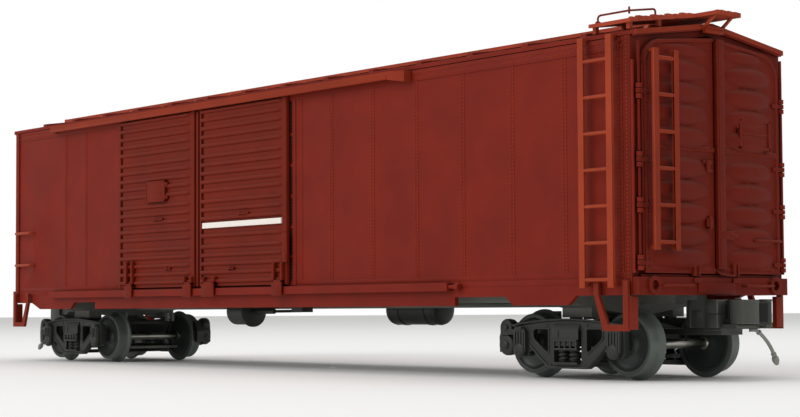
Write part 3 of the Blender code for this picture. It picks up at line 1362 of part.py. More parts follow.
def corner_boards():
    """Planks beside the ladder's head on a sloping board and posts, and the handrail over them."""
    outer, inner = -CORNER_BOARD_OUTER_Y, -CORNER_BOARD_INNER_Y
    low = [(outer, corner_board_z(outer)), (inner, corner_board_z(inner))]
    high = [(y, z + CORNER_BOARD_THICKNESS) for y, z in reversed(low)]
    board = plate("X", low + high, CORNER_BOARD_FROM, CORNER_BOARD_TO)
    grooves = []
    for number in range(1, CORNER_PLANKS):
        y = outer + (inner - outer) * number / CORNER_PLANKS
        top = corner_board_z(y) + CORNER_BOARD_THICKNESS
        grooves.append((
            (CORNER_BOARD_FROM - OVERRUN, y - PLANK_GROOVE / 2, top - PLANK_GROOVE),
            (CORNER_BOARD_TO + OVERRUN, y + PLANK_GROOVE / 2, top + OVERRUN),
        ))
    board = cut(board, blocks(*grooves))
    posts = []
    for share in CORNER_POST_SHARES:
        y = inner + (outer - inner) * share
        for x in (CORNER_BOARD_FROM, CORNER_BOARD_TO - CORNER_POST_WIDTH - ROOF_END_OVERHANG):
            bottom = roof_top_z(abs(y) - CORNER_POST_WIDTH / 2) + SEAT_GAP
            posts.append((
                (x + BITE, y - CORNER_POST_WIDTH / 2, bottom),
                (x + CORNER_POST_WIDTH, y + CORNER_POST_WIDTH / 2, corner_board_z(y) + BITE),
            ))
    both_sides("corner_board", joined(board, blocks(*posts)), BRIGHT_OXIDE)
    inset, lift = HANDRAIL_INSET, HANDRAIL_LIFT
    left, right = CORNER_BOARD_FROM + inset / 2, CORNER_BOARD_TO - inset
    front = outer + inset
    back = inner + (outer - inner) * HANDRAIL_FOOT_SHARE
    seat = CORNER_BOARD_THICKNESS + SEAT_GAP

    def above(y, rise):
        return corner_board_z(y) + seat + rise

    rail = bent_wire([
        (left, front, above(front, 0)), (left, front, above(front, lift)),
        (right, front, above(front, lift)), (right, back, above(back, lift)),
        (right, back, above(back, 0)),
    ], HANDRAIL_RADIUS)
    both_sides("corner_handrail", rail, BRIGHT_OXIDE)


# Air brake equipment


def brake_equipment():
    top = FLOOR_TOP_Z - FLOOR_THICKNESS - SEAT_GAP
    along = Matrix.Rotation(math.pi / 2, 4, "Y")
    length, flange = CYLINDER_LENGTH, CYLINDER_FLANGE_LENGTH
    profile = [
        (0, length / 2), (CYLINDER_FLANGE, length / 2), (CYLINDER_FLANGE, length / 2 - flange),
        (CYLINDER_RADIUS, length / 2 - flange), (CYLINDER_RADIUS, -length / 2), (0, -length / 2),
    ]
    centre = Vector((CYLINDER_X, CYLINDER_Y, CYLINDER_Z))
    barrel = turned(profile, TRUCK_SIDES, Matrix.Translation(centre) @ along)
    rod = rods(CYLINDER_ROD_RADIUS, FINE_SIDES, (
        centre, centre + Vector((length / 2 + CYLINDER_ROD_LENGTH, 0, 0)),
    ))
    bracket = blocks((
        centre + Vector((-length / 4, -CYLINDER_RADIUS / 2, 0)),
        Vector((centre.x + length / 4, centre.y + CYLINDER_RADIUS / 2, top)),
    ))
    piece("brake_cylinder", joined(barrel, rod, bracket), DARK_CASTING)
    half, dome = RESERVOIR_LENGTH / 2, RESERVOIR_DOME
    shoulder = RESERVOIR_RADIUS * RESERVOIR_SHOULDER_SHARE
    profile = [
        (0, half), (shoulder, half - dome / 3), (RESERVOIR_RADIUS, half - dome),
        (RESERVOIR_RADIUS, dome - half), (shoulder, dome / 3 - half), (0, -half),
    ]
    centre = Vector((RESERVOIR_X, RESERVOIR_Y, RESERVOIR_Z))
    tank = turned(profile, TRUCK_SIDES, Matrix.Translation(centre) @ along)
    straps = blocks(*[
        (
            centre + Vector((x - RESERVOIR_STRAP / 2, -RESERVOIR_RADIUS / 2, 0)),
            Vector((centre.x + x + RESERVOIR_STRAP / 2, centre.y + RESERVOIR_RADIUS / 2, top)),
        )
        for x in (-half / 2, half / 2)
    ])
    piece("air_reservoir", joined(tank, straps), DARK_CASTING)
    centre = Vector((VALVE_X, VALVE_Y, top - VALVE_HEIGHT / 2))
    size = Vector((VALVE_SIZE, VALVE_SIZE * VALVE_DEPTH_SHARE, VALVE_HEIGHT)) / 2
    reach = Vector((0, VALVE_SIZE * VALVE_CAP_REACH_SHARE, 0))
    body = blocks((centre - size, centre + size))
    caps = rods(VALVE_CAP_RADIUS, ROD_SIDES, (centre - reach, centre + reach))
    piece("control_valve", joined(body, caps), DARK_CASTING)


# Trucks, each modelled with its centre at X = 0 and its coupler towards +X


def wheelset():
    """Axle and two wheels, turned as one profile about the axle."""
    back, width = WHEEL_BACK_Y, WHEEL_WIDTH
    face = back + width
    rim_inner = TREAD_RADIUS - WHEEL_RIM_DEPTH
    half = [
        (0, AXLE_END_Y), (JOURNAL_RADIUS, AXLE_END_Y), (JOURNAL_RADIUS, face),
        (WHEEL_HUB_RADIUS, face), (WHEEL_HUB_RADIUS, face - WHEEL_DISH), (rim_inner, face - WHEEL_DISH),
        (rim_inner, face), (TREAD_RADIUS - WHEEL_TAPER, face),
        (TREAD_RADIUS, back + 2 * WHEEL_FLANGE_WIDTH), (TREAD_RADIUS + FLANGE_HEIGHT, back + WHEEL_FLANGE_WIDTH),
        (TREAD_RADIUS + FLANGE_HEIGHT, back), (AXLE_RADIUS, back),
    ]
    profile = half + [(radius, -height) for radius, height in reversed(half)]
    return turned(profile, WHEEL_STEPS, Matrix.Rotation(math.pi / 2, 4, "X"))


def sideframe_outline():
    """Outline and windows in X and Z: arched top chord, journal boxes, diagonals, spring seat."""
    box, half = JOURNAL_BOX_HALF, WHEELBASE / 2
    inner = half - box
    right = [
        (half + box, SIDEFRAME_END_TOP_Z),
        (half + box, JOURNAL_BOX_BOTTOM_Z),
        (inner, JOURNAL_BOX_BOTTOM_Z),
        (inner, AXLE_Z - FRAME_CHORD / 2),
        (WINDOW_HALF + FRAME_COLUMN * DIAGONAL_FOOT_SHARE, SIDEFRAME_BOTTOM_Z + FRAME_CHORD / 3),
        (WINDOW_HALF + FRAME_COLUMN, SIDEFRAME_BOTTOM_Z),
    ]
    left = [(-x, z) for x, z in reversed(right)]
    arch_rise = SIDEFRAME_TOP_Z - SIDEFRAME_END_TOP_Z
    span = half + box
    crown = [
        (x, SIDEFRAME_END_TOP_Z + arch_rise * (1 - (x / span) ** 2))
        for x in (span * (step / ARC_STEPS - 1) for step in range(1, 2 * ARC_STEPS))
    ]
    outline = rounded(right + left, FRAME_CORNER, 1)[1:-1] + crown
    top = SIDEFRAME_END_TOP_Z - FRAME_CHORD / 3
    beam_top = TRUCK_BOLSTER_TOP_Z + RUN_GAP
    centre = [
        (-WINDOW_HALF, SIDEFRAME_SPRING_SEAT_Z), (WINDOW_HALF, SIDEFRAME_SPRING_SEAT_Z),
        (WINDOW_HALF, beam_top), (-WINDOW_HALF, beam_top),
    ]
    near, far = WINDOW_HALF + FRAME_COLUMN, inner - FRAME_CHORD * LIGHT_END_SHARE
    foot = SIDEFRAME_BOTTOM_Z + FRAME_CHORD * LIGHT_FOOT_SHARE
    lights = [
        rounded([
            (s * near, foot), (s * far, AXLE_Z + FRAME_CHORD * LIGHT_RISE_SHARE),
            (s * far, top), (s * near, top),
        ], WINDOW_CORNER, 1)
        for s in (-1, 1)
    ]
    return outline, [centre] + lights


def brake_shoe(inner, side):
    """The shoe that faces the tread at one end of the truck (side -1 or 1), and the arm that carries it."""
    half = WHEELBASE / 2
    near = TREAD_RADIUS + BRAKE_SHOE_GAP
    far = near + BRAKE_SHOE_DEPTH
    angles = BRAKE_SHOE_LOW_ANGLE, BRAKE_SHOE_HIGH_ANGLE
    section = arc((half, AXLE_Z), far, *angles, CORNER_STEPS)
    section += arc((half, AXLE_Z), near, *angles, CORNER_STEPS)[::-1]
    shoe = plate("Y", [(side * x, z) for x, z in section], inner - 2 * BITE, -BRAKE_SHOE_INNER_Y)
    start, end = sorted((side * (half + JOURNAL_BOX_HALF - BITE), side * (half + near + BITE)))
    arm = blocks((
        (start, inner - 3 * BITE, BRAKE_ARM_Z), (end, inner - BITE / 2, BRAKE_ARM_Z + BRAKE_ARM_HEIGHT),
    ))
    return joined(shoe, arm)


def sideframe(shoe_side):
    """A sideframe in the near place, with journal boxes, springs and one brake shoe; its face is -Y."""
    inner, outer = -SIDEFRAME_INNER_Y, -SIDEFRAME_INNER_Y - SIDEFRAME_THICKNESS
    outline, windows = sideframe_outline()
    frame = plate("Y", outline, outer, inner, holes=windows)
    half, box = WHEELBASE / 2, JOURNAL_BOX_HALF
    lid, low, high = box * LID_WIDTH_SHARE, JOURNAL_BOX_BOTTOM_Z + BITE, SIDEFRAME_END_TOP_Z - BITE
    shapes = [frame]
    for x in (-half, half):
        face = [(x - lid, low), (x + lid, low), (x + lid, high), (x - lid, high)]
        shapes.append(plate("Y", rounded(face, LID_CORNER, 1), outer - JOURNAL_BOX_PROUD, outer + BITE))
    middle = (inner + outer) / 2
    spring_top = TRUCK_BOLSTER_BOTTOM_Z - SEAT_GAP
    coil = (spring_top - SIDEFRAME_SPRING_SEAT_Z) / SPRING_COILS
    for x in (-SPRING_SPREAD, SPRING_SPREAD):
        profile = [(0, spring_top)]
        for number in range(SPRING_COILS):
            top = spring_top - coil * number
            profile += [(SPRING_RADIUS * SPRING_CORE_SHARE, top), (SPRING_RADIUS, top - coil / 2)]
        bottom = SIDEFRAME_SPRING_SEAT_Z - BITE
        profile += [(SPRING_RADIUS * SPRING_CORE_SHARE, bottom), (0, bottom)]
        shapes.append(turned(profile, FINE_SIDES, Matrix.Translation((x, middle, 0))))
    bores = rods(JOURNAL_RADIUS + RUN_GAP, ROD_SIDES, *[
        ((x, inner + OVERRUN, AXLE_Z), (x, -AXLE_END_Y - RUN_GAP, AXLE_Z)) for x in (-half, half)
    ])
    return cut(joined(*shapes, brake_shoe(inner, shoe_side)), bores)


def spring_plank():
    """The cross member between the spring seats, with the two brake beams that hang on it."""
    end = SIDEFRAME_INNER_Y - SEAT_GAP
    top = SIDEFRAME_SPRING_SEAT_Z
    low = top - SPRING_PLANK_THICKNESS
    plank = blocks(((-SPRING_PLANK_HALF, -end, low), (SPRING_PLANK_HALF, end, top)))
    beams = rods(AXLE_RADIUS / 2, ROD_SIDES, *[
        ((x, -BRAKE_BEAM_HALF, BRAKE_BEAM_Z), (x, BRAKE_BEAM_HALF, BRAKE_BEAM_Z))
        for x in (-BRAKE_BEAM_X, BRAKE_BEAM_X)
    ])
    struts = [
        plate("Y", [
            (-BRAKE_BEAM_X, BRAKE_BEAM_Z), (-SPRING_PLANK_HALF, low + BITE), (SPRING_PLANK_HALF, low + BITE),
            (BRAKE_BEAM_X, BRAKE_BEAM_Z), (SPRING_PLANK_HALF, top + BITE), (-SPRING_PLANK_HALF, top + BITE),
        ], y - BRAKE_STRUT_WIDTH / 2, y + BRAKE_STRUT_WIDTH / 2)
        for y in (-BRAKE_STRUT_Y, BRAKE_STRUT_Y)
    ]
    return joined(plank, beams, *struts)


def truck_bolster():
    """The cross beam whose ends stand in the sideframes' windows, with the centre plate on top."""
    end, seat = TRUCK_BOLSTER_END_Y, CENTRE_PLATE_RADIUS
    top, low = TRUCK_BOLSTER_TOP_Z, TRUCK_BOLSTER_BOTTOM_Z
    shoulder = SIDEFRAME_INNER_Y - RUN_GAP
    outline = [
        (-end, low), (end, low), (end, top), (shoulder, top), (seat, CENTRE_PLATE_TOP_Z - WHEEL_DISH),
        (-seat, CENTRE_PLATE_TOP_Z - WHEEL_DISH), (-shoulder, top), (-end, top),
    ]
    half = TRUCK_BOLSTER_HALF
    beam = plate("X", outline, -half, half)
    plate_low = CENTRE_PLATE_TOP_Z - WHEEL_DISH - BITE
    centre = rods(CENTRE_PLATE_RADIUS, TRUCK_SIDES, ((0, 0, plate_low), (0, 0, CENTRE_PLATE_TOP_Z)))
    bore = rods(PIVOT_RADIUS + RUN_GAP, TRUCK_SIDES, (
        (0, 0, low - OVERRUN), (0, 0, CENTRE_PLATE_TOP_Z + OVERRUN),
    ))
    return cut(joined(beam, centre), bore)


def coupler_arm():
    """The arm from the truck's bolster, the draft box and the open head of the coupler."""
    start = TRUCK_BOLSTER_HALF + SEAT_GAP
    half, low = COUPLER_ARM_HALF, COUPLER_ARM_Z
    arm = blocks(((start, -half, low), (DRAFT_BOX_TO, half, low + COUPLER_ARM_THICKNESS)))
    lift = blocks((
        (DRAFT_BOX_FROM, -half, low + BITE), (DRAFT_BOX_TO - BITE, half, COUPLER_TOP_Z - BITE),
    ))
    box = blocks((
        (DRAFT_BOX_FROM + BITE, -DRAFT_BOX_HALF, COUPLER_BOTTOM_Z),
        (DRAFT_BOX_TO, DRAFT_BOX_HALF, COUPLER_TOP_Z),
    ))
    side, wall, nose = HEAD_HALF, HEAD_WALL, COUPLER_NOSE
    shank = side * SHANK_SHARE
    throat = KNUCKLE_PIN_X - wall
    guard = rounded([
        (DRAFT_BOX_TO - BITE, -shank), (throat, -shank), (throat, wall / 2),
        (KNUCKLE_PIN_X + wall, side - wall), (nose, side + wall / 3), (nose, side + wall),
        (throat, side + wall), (DRAFT_BOX_TO - BITE, side * HEEL_SHARE),
    ], HEAD_CORNER)
    head = plate("Z", guard, COUPLER_BOTTOM_Z + BITE, COUPLER_TOP_Z - BITE)
    base = blocks((
        (DRAFT_BOX_TO - BITE, -side, COUPLER_BOTTOM_Z - BITE),
        (nose - wall, side, COUPLER_BOTTOM_Z + COUPLER_ARM_THICKNESS / 2),
    ))
    return joined(arm, lift, box, head, base)


def knuckle():
    """The hooked jaw, turning on a pin at its heel."""
    low = COUPLER_BOTTOM_Z + COUPLER_ARM_THICKNESS / 2 + SEAT_GAP
    x, y, r = KNUCKLE_PIN_X + HEAD_WALL / 2, -HEAD_HALF + HEAD_WALL, KNUCKLE_RADIUS
    nose = COUPLER_NOSE
    jaw = rounded([
        (nose, y - r), (nose, y + 2 * r), (nose - r * KNUCKLE_LIP_SHARE, y + r * KNUCKLE_TIP_SHARE),
        (nose - r * KNUCKLE_THROAT_SHARE, y + r), (x, y + r), (x, y - r),
    ], HEAD_CORNER)[:-2 * (CORNER_STEPS + 1)]
    return plate("Z", jaw + arc((x, y), r, 90, 270), low, COUPLER_TOP_Z)


def brake_hose():
    """A short moulded air hose that hangs beside the coupler and ends in its glad hand."""
    top = COUPLER_BOTTOM_Z - BITE - SEAT_GAP
    start = Vector((HOSE_X, HOSE_Y * 0.6, top))
    bend = Vector((HOSE_X + HOSE_DROP / 2, HOSE_Y + HOSE_DROP, (top + GLAD_HAND_Z) / 2))
    end = Vector((HOSE_X, GLAD_HAND_Y, GLAD_HAND_Z))
    low = start - Vector((0, 0, HOSE_DROP / 3))
    curve = []
    steps = 2 * ARC_STEPS
    for step in range(steps + 1):
        t = step / steps
        curve.append(low * (1 - t) ** 2 + bend * 2 * t * (1 - t) + end * t ** 2)
    hose = bent_wire([start] + curve, HOSE_RADIUS)
    tip = end - curve[-2]
    tip.normalize()
    hand = rods(GLAD_HAND_RADIUS, ROD_SIDES, (end - tip * BITE, end + tip * GLAD_HAND_LENGTH))
    return joined(hose, hand)


def trucks():
    made = {
        "truck_bolster": (truck_bolster(), DARK_CASTING),
        "coupler_arm": (coupler_arm(), DARK_CASTING),
        "knuckle": (knuckle(), DARK_CASTING),
        "brake_hose": (brake_hose(), DARK_CASTING),
        "spring_plank": (spring_plank(), DARK_CASTING),
    }
    wheels = wheelset()
    low = TRUCK_BOLSTER_BOTTOM_Z - SEAT_GAP
    rise = CENTRE_PLATE_TOP_Z + PIVOT_RISE
    screw = turned([
        (0, rise), (PIVOT_RADIUS, rise), (PIVOT_RADIUS, low), (PIVOT_HEAD_RADIUS, low),
        (PIVOT_HEAD_RADIUS, low - PIVOT_HEAD_HEIGHT), (0, low - PIVOT_HEAD_HEIGHT),
    ], TRUCK_SIDES)
    places = {
        "door_end": Matrix.Translation((TRUCK_X, 0, 0)),
        "plain_end": HALF_TURN @ Matrix.Translation((TRUCK_X, 0, 0)),
    }
    # Side of the car, end of the truck that has the brake shoe, turned from the near place or not
    frames = {
        "door_end": (("near", -1, Matrix.Identity(4)), ("far", 1, HALF_TURN)),
        "plain_end": (("far", -1, Matrix.Identity(4)), ("near", -1, HALF_TURN)),
    }
    first = {}
    for end, place in places.items():
        centre = pivot("truck_" + end, place)
        for kind, (shape, material) in made.items():
            if kind in first:
                copied(f"{kind}_{end}", first[kind], Matrix.Identity(4), centre)
            else:
                first[kind] = piece(f"{kind}_{end}", shape, material, parent=centre)
        for side, shoe_side, turn in frames[end]:
            name = f"sideframe_{side}_{end}"
            if shoe_side in first:
                copied(name, first[shoe_side], turn, centre)
            else:
                first[shoe_side] = piece(name, sideframe(shoe_side), DARK_CASTING, turn, centre)
        for kind, x in (("outer", WHEELBASE / 2), ("inner", -WHEELBASE / 2)):
            axle = Matrix.Translation((x, 0, AXLE_Z))
            if "wheels" in first:
                copied(f"wheelset_{kind}_{end}", first["wheels"], axle, centre)
            else:
                first["wheels"] = piece(f"wheelset_{kind}_{end}", wheels, WHEEL_METAL, axle, centre)
        if "screw" in first:
            copied(f"pivot_screw_{end}", first["screw"], place)
        else:
            first["screw"] = piece(f"pivot_screw_{end}", screw, DARK_CASTING, place)


def main():
    clear_scene()
    side_panels()
    roof()
    plain_end()
    door_end_frame()
    hinge_posts()
    end_sills()
    floor_plate()
    underframe()
    side_doors()
    door_tracks()
    end_doors()
    both_sides("side_ladder", side_ladder(), BRIGHT_OXIDE)
    piece("plain_end_ladder", end_ladder(END_X + END_RIB_DEPTH), BRIGHT_OXIDE, place=HALF_TURN)
    stirrups()
    brake_gear()
    running_board()
    corner_boards()
    brake_equipment()
    trucks()


main()
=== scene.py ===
"""The looks of a double-door boxcar in 1:48 scale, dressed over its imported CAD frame.

Every length in the classes below is in millimetres of the model and becomes metres when a mesh is made.
X runs along the car towards the end with the two hinged doors, the side seen first faces -Y, and Z is up
from the bottoms of the wheel flanges. The far side and the plain end are the near side and the door end
turned half round about Z, so most pieces are worked out once and turned.
"""

from __future__ import annotations

import json
import logging
import math
from dataclasses import dataclass
from enum import Enum
from typing import Callable, Iterable, Sequence

import bmesh
import bpy
import numpy as np
from mathutils import Matrix, Vector

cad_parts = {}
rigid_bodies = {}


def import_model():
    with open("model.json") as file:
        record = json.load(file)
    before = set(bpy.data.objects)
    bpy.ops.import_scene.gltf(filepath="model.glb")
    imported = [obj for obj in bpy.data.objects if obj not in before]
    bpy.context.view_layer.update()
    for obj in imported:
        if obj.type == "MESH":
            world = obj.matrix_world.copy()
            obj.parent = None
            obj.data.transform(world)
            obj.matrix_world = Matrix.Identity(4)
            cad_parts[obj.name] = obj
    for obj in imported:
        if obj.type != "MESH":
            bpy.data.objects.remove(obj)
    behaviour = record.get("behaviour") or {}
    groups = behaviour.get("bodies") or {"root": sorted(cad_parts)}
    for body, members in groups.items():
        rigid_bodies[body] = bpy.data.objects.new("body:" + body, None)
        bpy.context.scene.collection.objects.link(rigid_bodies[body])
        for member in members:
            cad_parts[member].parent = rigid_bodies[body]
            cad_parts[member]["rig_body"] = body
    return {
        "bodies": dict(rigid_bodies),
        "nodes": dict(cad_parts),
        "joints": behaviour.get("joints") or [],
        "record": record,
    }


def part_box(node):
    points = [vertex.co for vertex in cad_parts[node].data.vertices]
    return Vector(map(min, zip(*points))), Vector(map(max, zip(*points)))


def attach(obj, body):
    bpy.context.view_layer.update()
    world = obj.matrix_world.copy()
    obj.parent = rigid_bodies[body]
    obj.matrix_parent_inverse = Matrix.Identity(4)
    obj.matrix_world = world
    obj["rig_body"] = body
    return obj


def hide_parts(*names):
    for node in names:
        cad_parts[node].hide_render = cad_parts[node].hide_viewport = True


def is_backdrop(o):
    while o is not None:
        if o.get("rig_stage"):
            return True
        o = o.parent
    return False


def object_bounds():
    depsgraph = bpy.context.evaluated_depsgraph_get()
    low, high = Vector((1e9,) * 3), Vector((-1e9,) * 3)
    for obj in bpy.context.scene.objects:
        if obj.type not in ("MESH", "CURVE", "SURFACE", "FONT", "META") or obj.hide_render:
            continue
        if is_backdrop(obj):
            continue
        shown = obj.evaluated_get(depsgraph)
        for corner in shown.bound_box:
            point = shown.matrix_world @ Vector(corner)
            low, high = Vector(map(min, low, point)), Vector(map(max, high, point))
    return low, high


Tree, Socket, Piece = bpy.types.NodeTree, bpy.types.NodeSocket, bpy.types.Object

LOG = logging.getLogger("boxcar")
MM = 0.001
HALF_TURN = np.diag([-1.0, -1.0, 1.0])
SIDES = {"near": np.eye(3), "far": HALF_TURN}
ENDS = {"door_end": np.eye(3), "plain_end": HALF_TURN}
OBLIQUE = np.array([0.31, 0.52, 0.79])
AHEAD, ACROSS, UP = np.eye(3)

# Measures that several classes share: trucks and axles, the roof with its ribs, grab irons, moulded edges
TRUCK_X, HALF_BASE, AXLE_Z = 133.25, 17.75, 9.75
ROOF_PEAK, ROOF_SLOPE = 97.0, 4.6 / 31.1
ROOF_RIBS = -142.3 + 22.3 * np.arange(14)
GRAB_HEIGHTS = (38.0, 50.7)
MOULD_EDGE = 0.09


# Skins worked out as arrays


@dataclass
class Skin:
    """A skin as arrays: points (n, 3) in millimetres, and groups of faces with the same number of corners."""

    points: np.ndarray
    faces: list[np.ndarray]

    def __add__(self, other: Skin) -> Skin:
        """Both skins as one."""
        shift = len(self.points)
        return Skin(np.vstack((self.points, other.points)), self.faces + [f + shift for f in other.faces])

    def turned(self, matrix: np.ndarray = HALF_TURN, shift: Sequence[float] = (0, 0, 0)) -> Skin:
        """The skin turned by a 3 x 3 matrix and then moved: p' = M p + s."""
        return Skin(self.points @ matrix.T + np.asarray(shift, float), [f.copy() for f in self.faces])


def together(parts: Iterable[Skin]) -> Skin:
    """All the skins as one."""
    parts = list(parts)
    made = parts[0]
    for part in parts[1:]:
        made = made + part
    return made


def grid(x: float | np.ndarray, y: float | np.ndarray, z: float | np.ndarray) -> np.ndarray:
    """Points from their coordinates, each of them an array or one number for all points."""
    return np.stack(np.broadcast_arrays(x, y, z), axis=-1)


def full_turn(steps: int) -> np.ndarray:
    """Angles spread evenly round a circle."""
    return np.linspace(0, 2 * np.pi, steps, endpoint=False)


def quads(rows: int, columns: int, wrap_rows: bool = False, wrap_columns: bool = False) -> np.ndarray:
    """The faces of a grid of points numbered row by row, corner by corner.

    Args:
        rows: Rows of points.
        columns: Points in a row.
        wrap_rows: Whether the last row joins the first.
        wrap_columns: Whether the last point of a row joins its first.

    Returns:
        An array (n, 4) of point numbers.
    """
    r, c = np.meshgrid(
        np.arange(rows if wrap_rows else rows - 1), np.arange(columns if wrap_columns else columns - 1),
        indexing="ij",
    )
    below, beside = (r + 1) % rows, (c + 1) % columns
    ring = (r * columns + c, r * columns + beside, below * columns + beside, below * columns + c)
    return np.stack([part.ravel() for part in ring], axis=1)


def slab(front: np.ndarray, back: np.ndarray) -> Skin:
    """A closed slab between two grids of the same shape, with walls along their edges.

    Args:
        front: Grid (rows, columns, 3) of the outer face.
        back: Grid of the inner face, point for point behind the outer one.
    """
    rows, columns = front.shape[:2]
    face = quads(rows, columns)
    shift = rows * columns
    number = np.arange(shift).reshape(rows, columns)
    rim = np.concatenate((number[0], number[1:, -1], number[-1, -2::-1], number[-2:0:-1, 0]))
    ahead = np.roll(rim, -1)
    wall = np.stack((rim, rim + shift, ahead + shift, ahead), axis=1)
    return Skin(np.vstack((front.reshape(-1, 3), back.reshape(-1, 3))), [face, face[:, ::-1] + shift, wall])


def lathe(profile: Sequence[tuple[float, float]], axis: np.ndarray, centre: Sequence[float],
          steps: int = 32) -> Skin:
    """A profile of (radius, height) carried round an axis: p = c + h a + r (cos t u + sin t v).

    Args:
        profile: Radius and height of each point; it starts and ends on the axis.
        axis: Unit vector of the axis.
        centre: The point of the axis at height 0.
        steps: Points round the axis.
    """
    radius, height = np.asarray(profile, float).T
    turn = full_turn(steps)
    u = np.roll(np.abs(axis), 1)
    v = np.cross(axis, u)
    ring = np.cos(turn)[:, None] * u + np.sin(turn)[:, None] * v
    points = radius[:, None, None] * ring + height[:, None, None] * axis + np.asarray(centre, float)
    return Skin(points.reshape(-1, 3), [quads(len(radius), steps, wrap_columns=True)])


def sweep(path: np.ndarray, section: np.ndarray, closed: bool = False) -> Skin:
    """A section carried along a path: p = q + a (t x k) / |t x k| + b (t x (t x k)), k one oblique direction.

    Args:
        path: Points (n, 3) of the path.
        section: Points (m, 2) of the section, in its own a and b.
        closed: Whether the path's end joins its start.
    """
    path = np.asarray(path, float)
    if closed:
        tangent = np.roll(path, -1, axis=0) - np.roll(path, 1, axis=0)
    else:
        tangent = np.gradient(path, axis=0)
    tangent /= np.linalg.norm(tangent, axis=1)[:, None]
    side = np.cross(tangent, OBLIQUE)
    side /= np.linalg.norm(side, axis=1)[:, None]
    other = np.cross(tangent, side)
    points = path[:, None] + section[None, :, :1] * side[:, None] + section[None, :, 1:] * other[:, None]
    rows, columns = points.shape[:2]
    faces = [quads(rows, columns, wrap_rows=closed, wrap_columns=True)]
    if not closed:
        cap = np.arange(columns)
        faces += [cap[None, ::-1], cap[None] + (rows - 1) * columns]
    return Skin(points.reshape(-1, 3), faces)


def circle(radius: float, sides: int) -> np.ndarray:
    """A round section as points (n, 2)."""
    turn = full_turn(sides)
    return radius * np.stack((np.cos(turn), np.sin(turn)), axis=1)


def bent(points: Sequence[Sequence[float]], bend: float, steps: int = 5) -> np.ndarray:
    """A line of points with each corner B bent: (1-t)^2 P + 2t(1-t) B + t^2 Q, with P and Q at bend from B.

    Args:
        points: The line's points.
        bend: How far from a corner its curve starts.
        steps: Points in each curve.
    """
    line = np.asarray(points, float)
    t = np.linspace(0, 1, steps)[:, None]
    parts = [line[:1]]
    for before, corner, after in zip(line[:-2], line[1:-1], line[2:]):
        start, end = (
            corner + (to - corner) * min(bend / np.linalg.norm(to - corner), 0.49) for to in (before, after)
        )
        parts.append((1 - t) ** 2 * start + 2 * t * (1 - t) * corner + t ** 2 * end)
    return np.vstack(parts + [line[-1:]])


def wire(points: Sequence[Sequence[float]], radius: float, bend: float = 0.7, sides: int = 10) -> Skin:
    """A round wire along a line of points with bent corners."""
    return sweep(bent(points, bend), circle(radius, sides))


def rod(points: Sequence[Sequence[float]], radius: float, sides: int) -> Skin:
    """A round rod through a few points, its corners left as they are."""
    return sweep(np.array(points, float), circle(radius, sides))


def moved(rows: Sequence[Sequence[float]], x: float) -> list[np.ndarray]:
    """Opposite corners of blocks, as blocks() reads them, moved along X."""
    return list(np.asarray(rows, float) + (x, 0, 0, x, 0, 0))


def blocks(rows: Sequence[Sequence[float]], radius: float = 0.10, steps: int = 2) -> Skin:
    """Blocks with round edges: p = c + s (h - r) + r n, n on a small sphere and s the signs of its octant.

    Args:
        rows: Two opposite corners (x, y, z, x, y, z) of each block.
        radius: Radius of the edges, cut down where a block is thin.
        steps: Faces across a quarter of an edge's curve.
    """
    ends = np.atleast_2d(np.asarray(rows, float)).reshape(-1, 2, 3)
    low, high = ends.min(axis=1), ends.max(axis=1)
    centre, half = (low + high) / 2, (high - low) / 2
    r = np.minimum(radius, half.min(axis=1) * 0.95)[:, None, None, None]
    quarter = np.linspace(0, np.pi / 2, steps + 1)
    round_ = np.concatenate([quarter + k * np.pi / 2 for k in range(4)])
    rise = np.concatenate((quarter - np.pi / 2, quarter))
    flat, steep = np.cos(rise)[:, None], np.sin(rise)[:, None]
    n = grid(flat * np.cos(round_), flat * np.sin(round_), steep)
    count = steps + 1
    sx, sy = np.repeat([1, -1, -1, 1], count), np.repeat([1, 1, -1, -1], count)
    s = grid(sx[None], sy[None], np.repeat([-1, 1], count)[:, None])
    inner = half[:, None, None] - r
    points = centre[:, None, None] + s * inner + r * n
    width, tall = 4 * count, 2 * count
    shift = (np.arange(len(ends)) * width * tall)[:, None, None]
    face = (quads(tall, width, wrap_columns=True)[None] + shift).reshape(-1, 4)
    cap = np.arange(width)[None, None] + shift
    caps = [cap[:, 0, ::-1], cap[:, 0] + (tall - 1) * width]
    return Skin(points.reshape(-1, 3), [face, *caps])


def domes(places: np.ndarray, out: np.ndarray, radius: float = 0.27, height: float = 0.15,
          sides: int = 6) -> Skin:
    """Rivet heads: a ring sunk below the face, a ring at 0.72 r and 0.7 h, and a point at h.

    Args:
        places: Points (n, 3) on the face.
        out: The way the heads stand out.
        radius: Radius of a head.
        height: How far it stands out.
        sides: Corners of a ring.
    """
    places = np.asarray(places, float).reshape(-1, 3)
    out = np.asarray(out, float)
    u = np.cross(out, OBLIQUE)
    u /= np.linalg.norm(u)
    v = np.cross(out, u)
    turn = full_turn(sides)
    ring = np.cos(turn)[:, None] * u + np.sin(turn)[:, None] * v
    rings = np.vstack((radius * ring - 0.06 * out, 0.72 * radius * ring + 0.7 * height * out, [height * out]))
    points = places[:, None] + rings[None]
    count = 2 * sides + 1
    shift = (np.arange(len(places)) * count)[:, None, None]
    here = np.arange(sides)
    ahead = (here + 1) % sides
    skirt = np.stack((here, ahead, ahead + sides, here + sides), axis=1)[None] + shift
    crown = np.stack((here + sides, ahead + sides, np.full(sides, 2 * sides)), axis=1)[None] + shift
    base = here[None, None, ::-1] + shift
    return Skin(points.reshape(-1, 3), [skirt.reshape(-1, 4), crown.reshape(-1, 3), base.reshape(-1, sides)])


def grab_iron(wall: float, front: float, y: float, z: float) -> Skin:
    """A bent grab iron across an end, 11.5 wide: out of the wall, across and back."""
    return wire([(wall, y, z), (front, y, z), (front, y + 11.5, z), (wall, y + 11.5, z)], 0.4, bend=0.9)


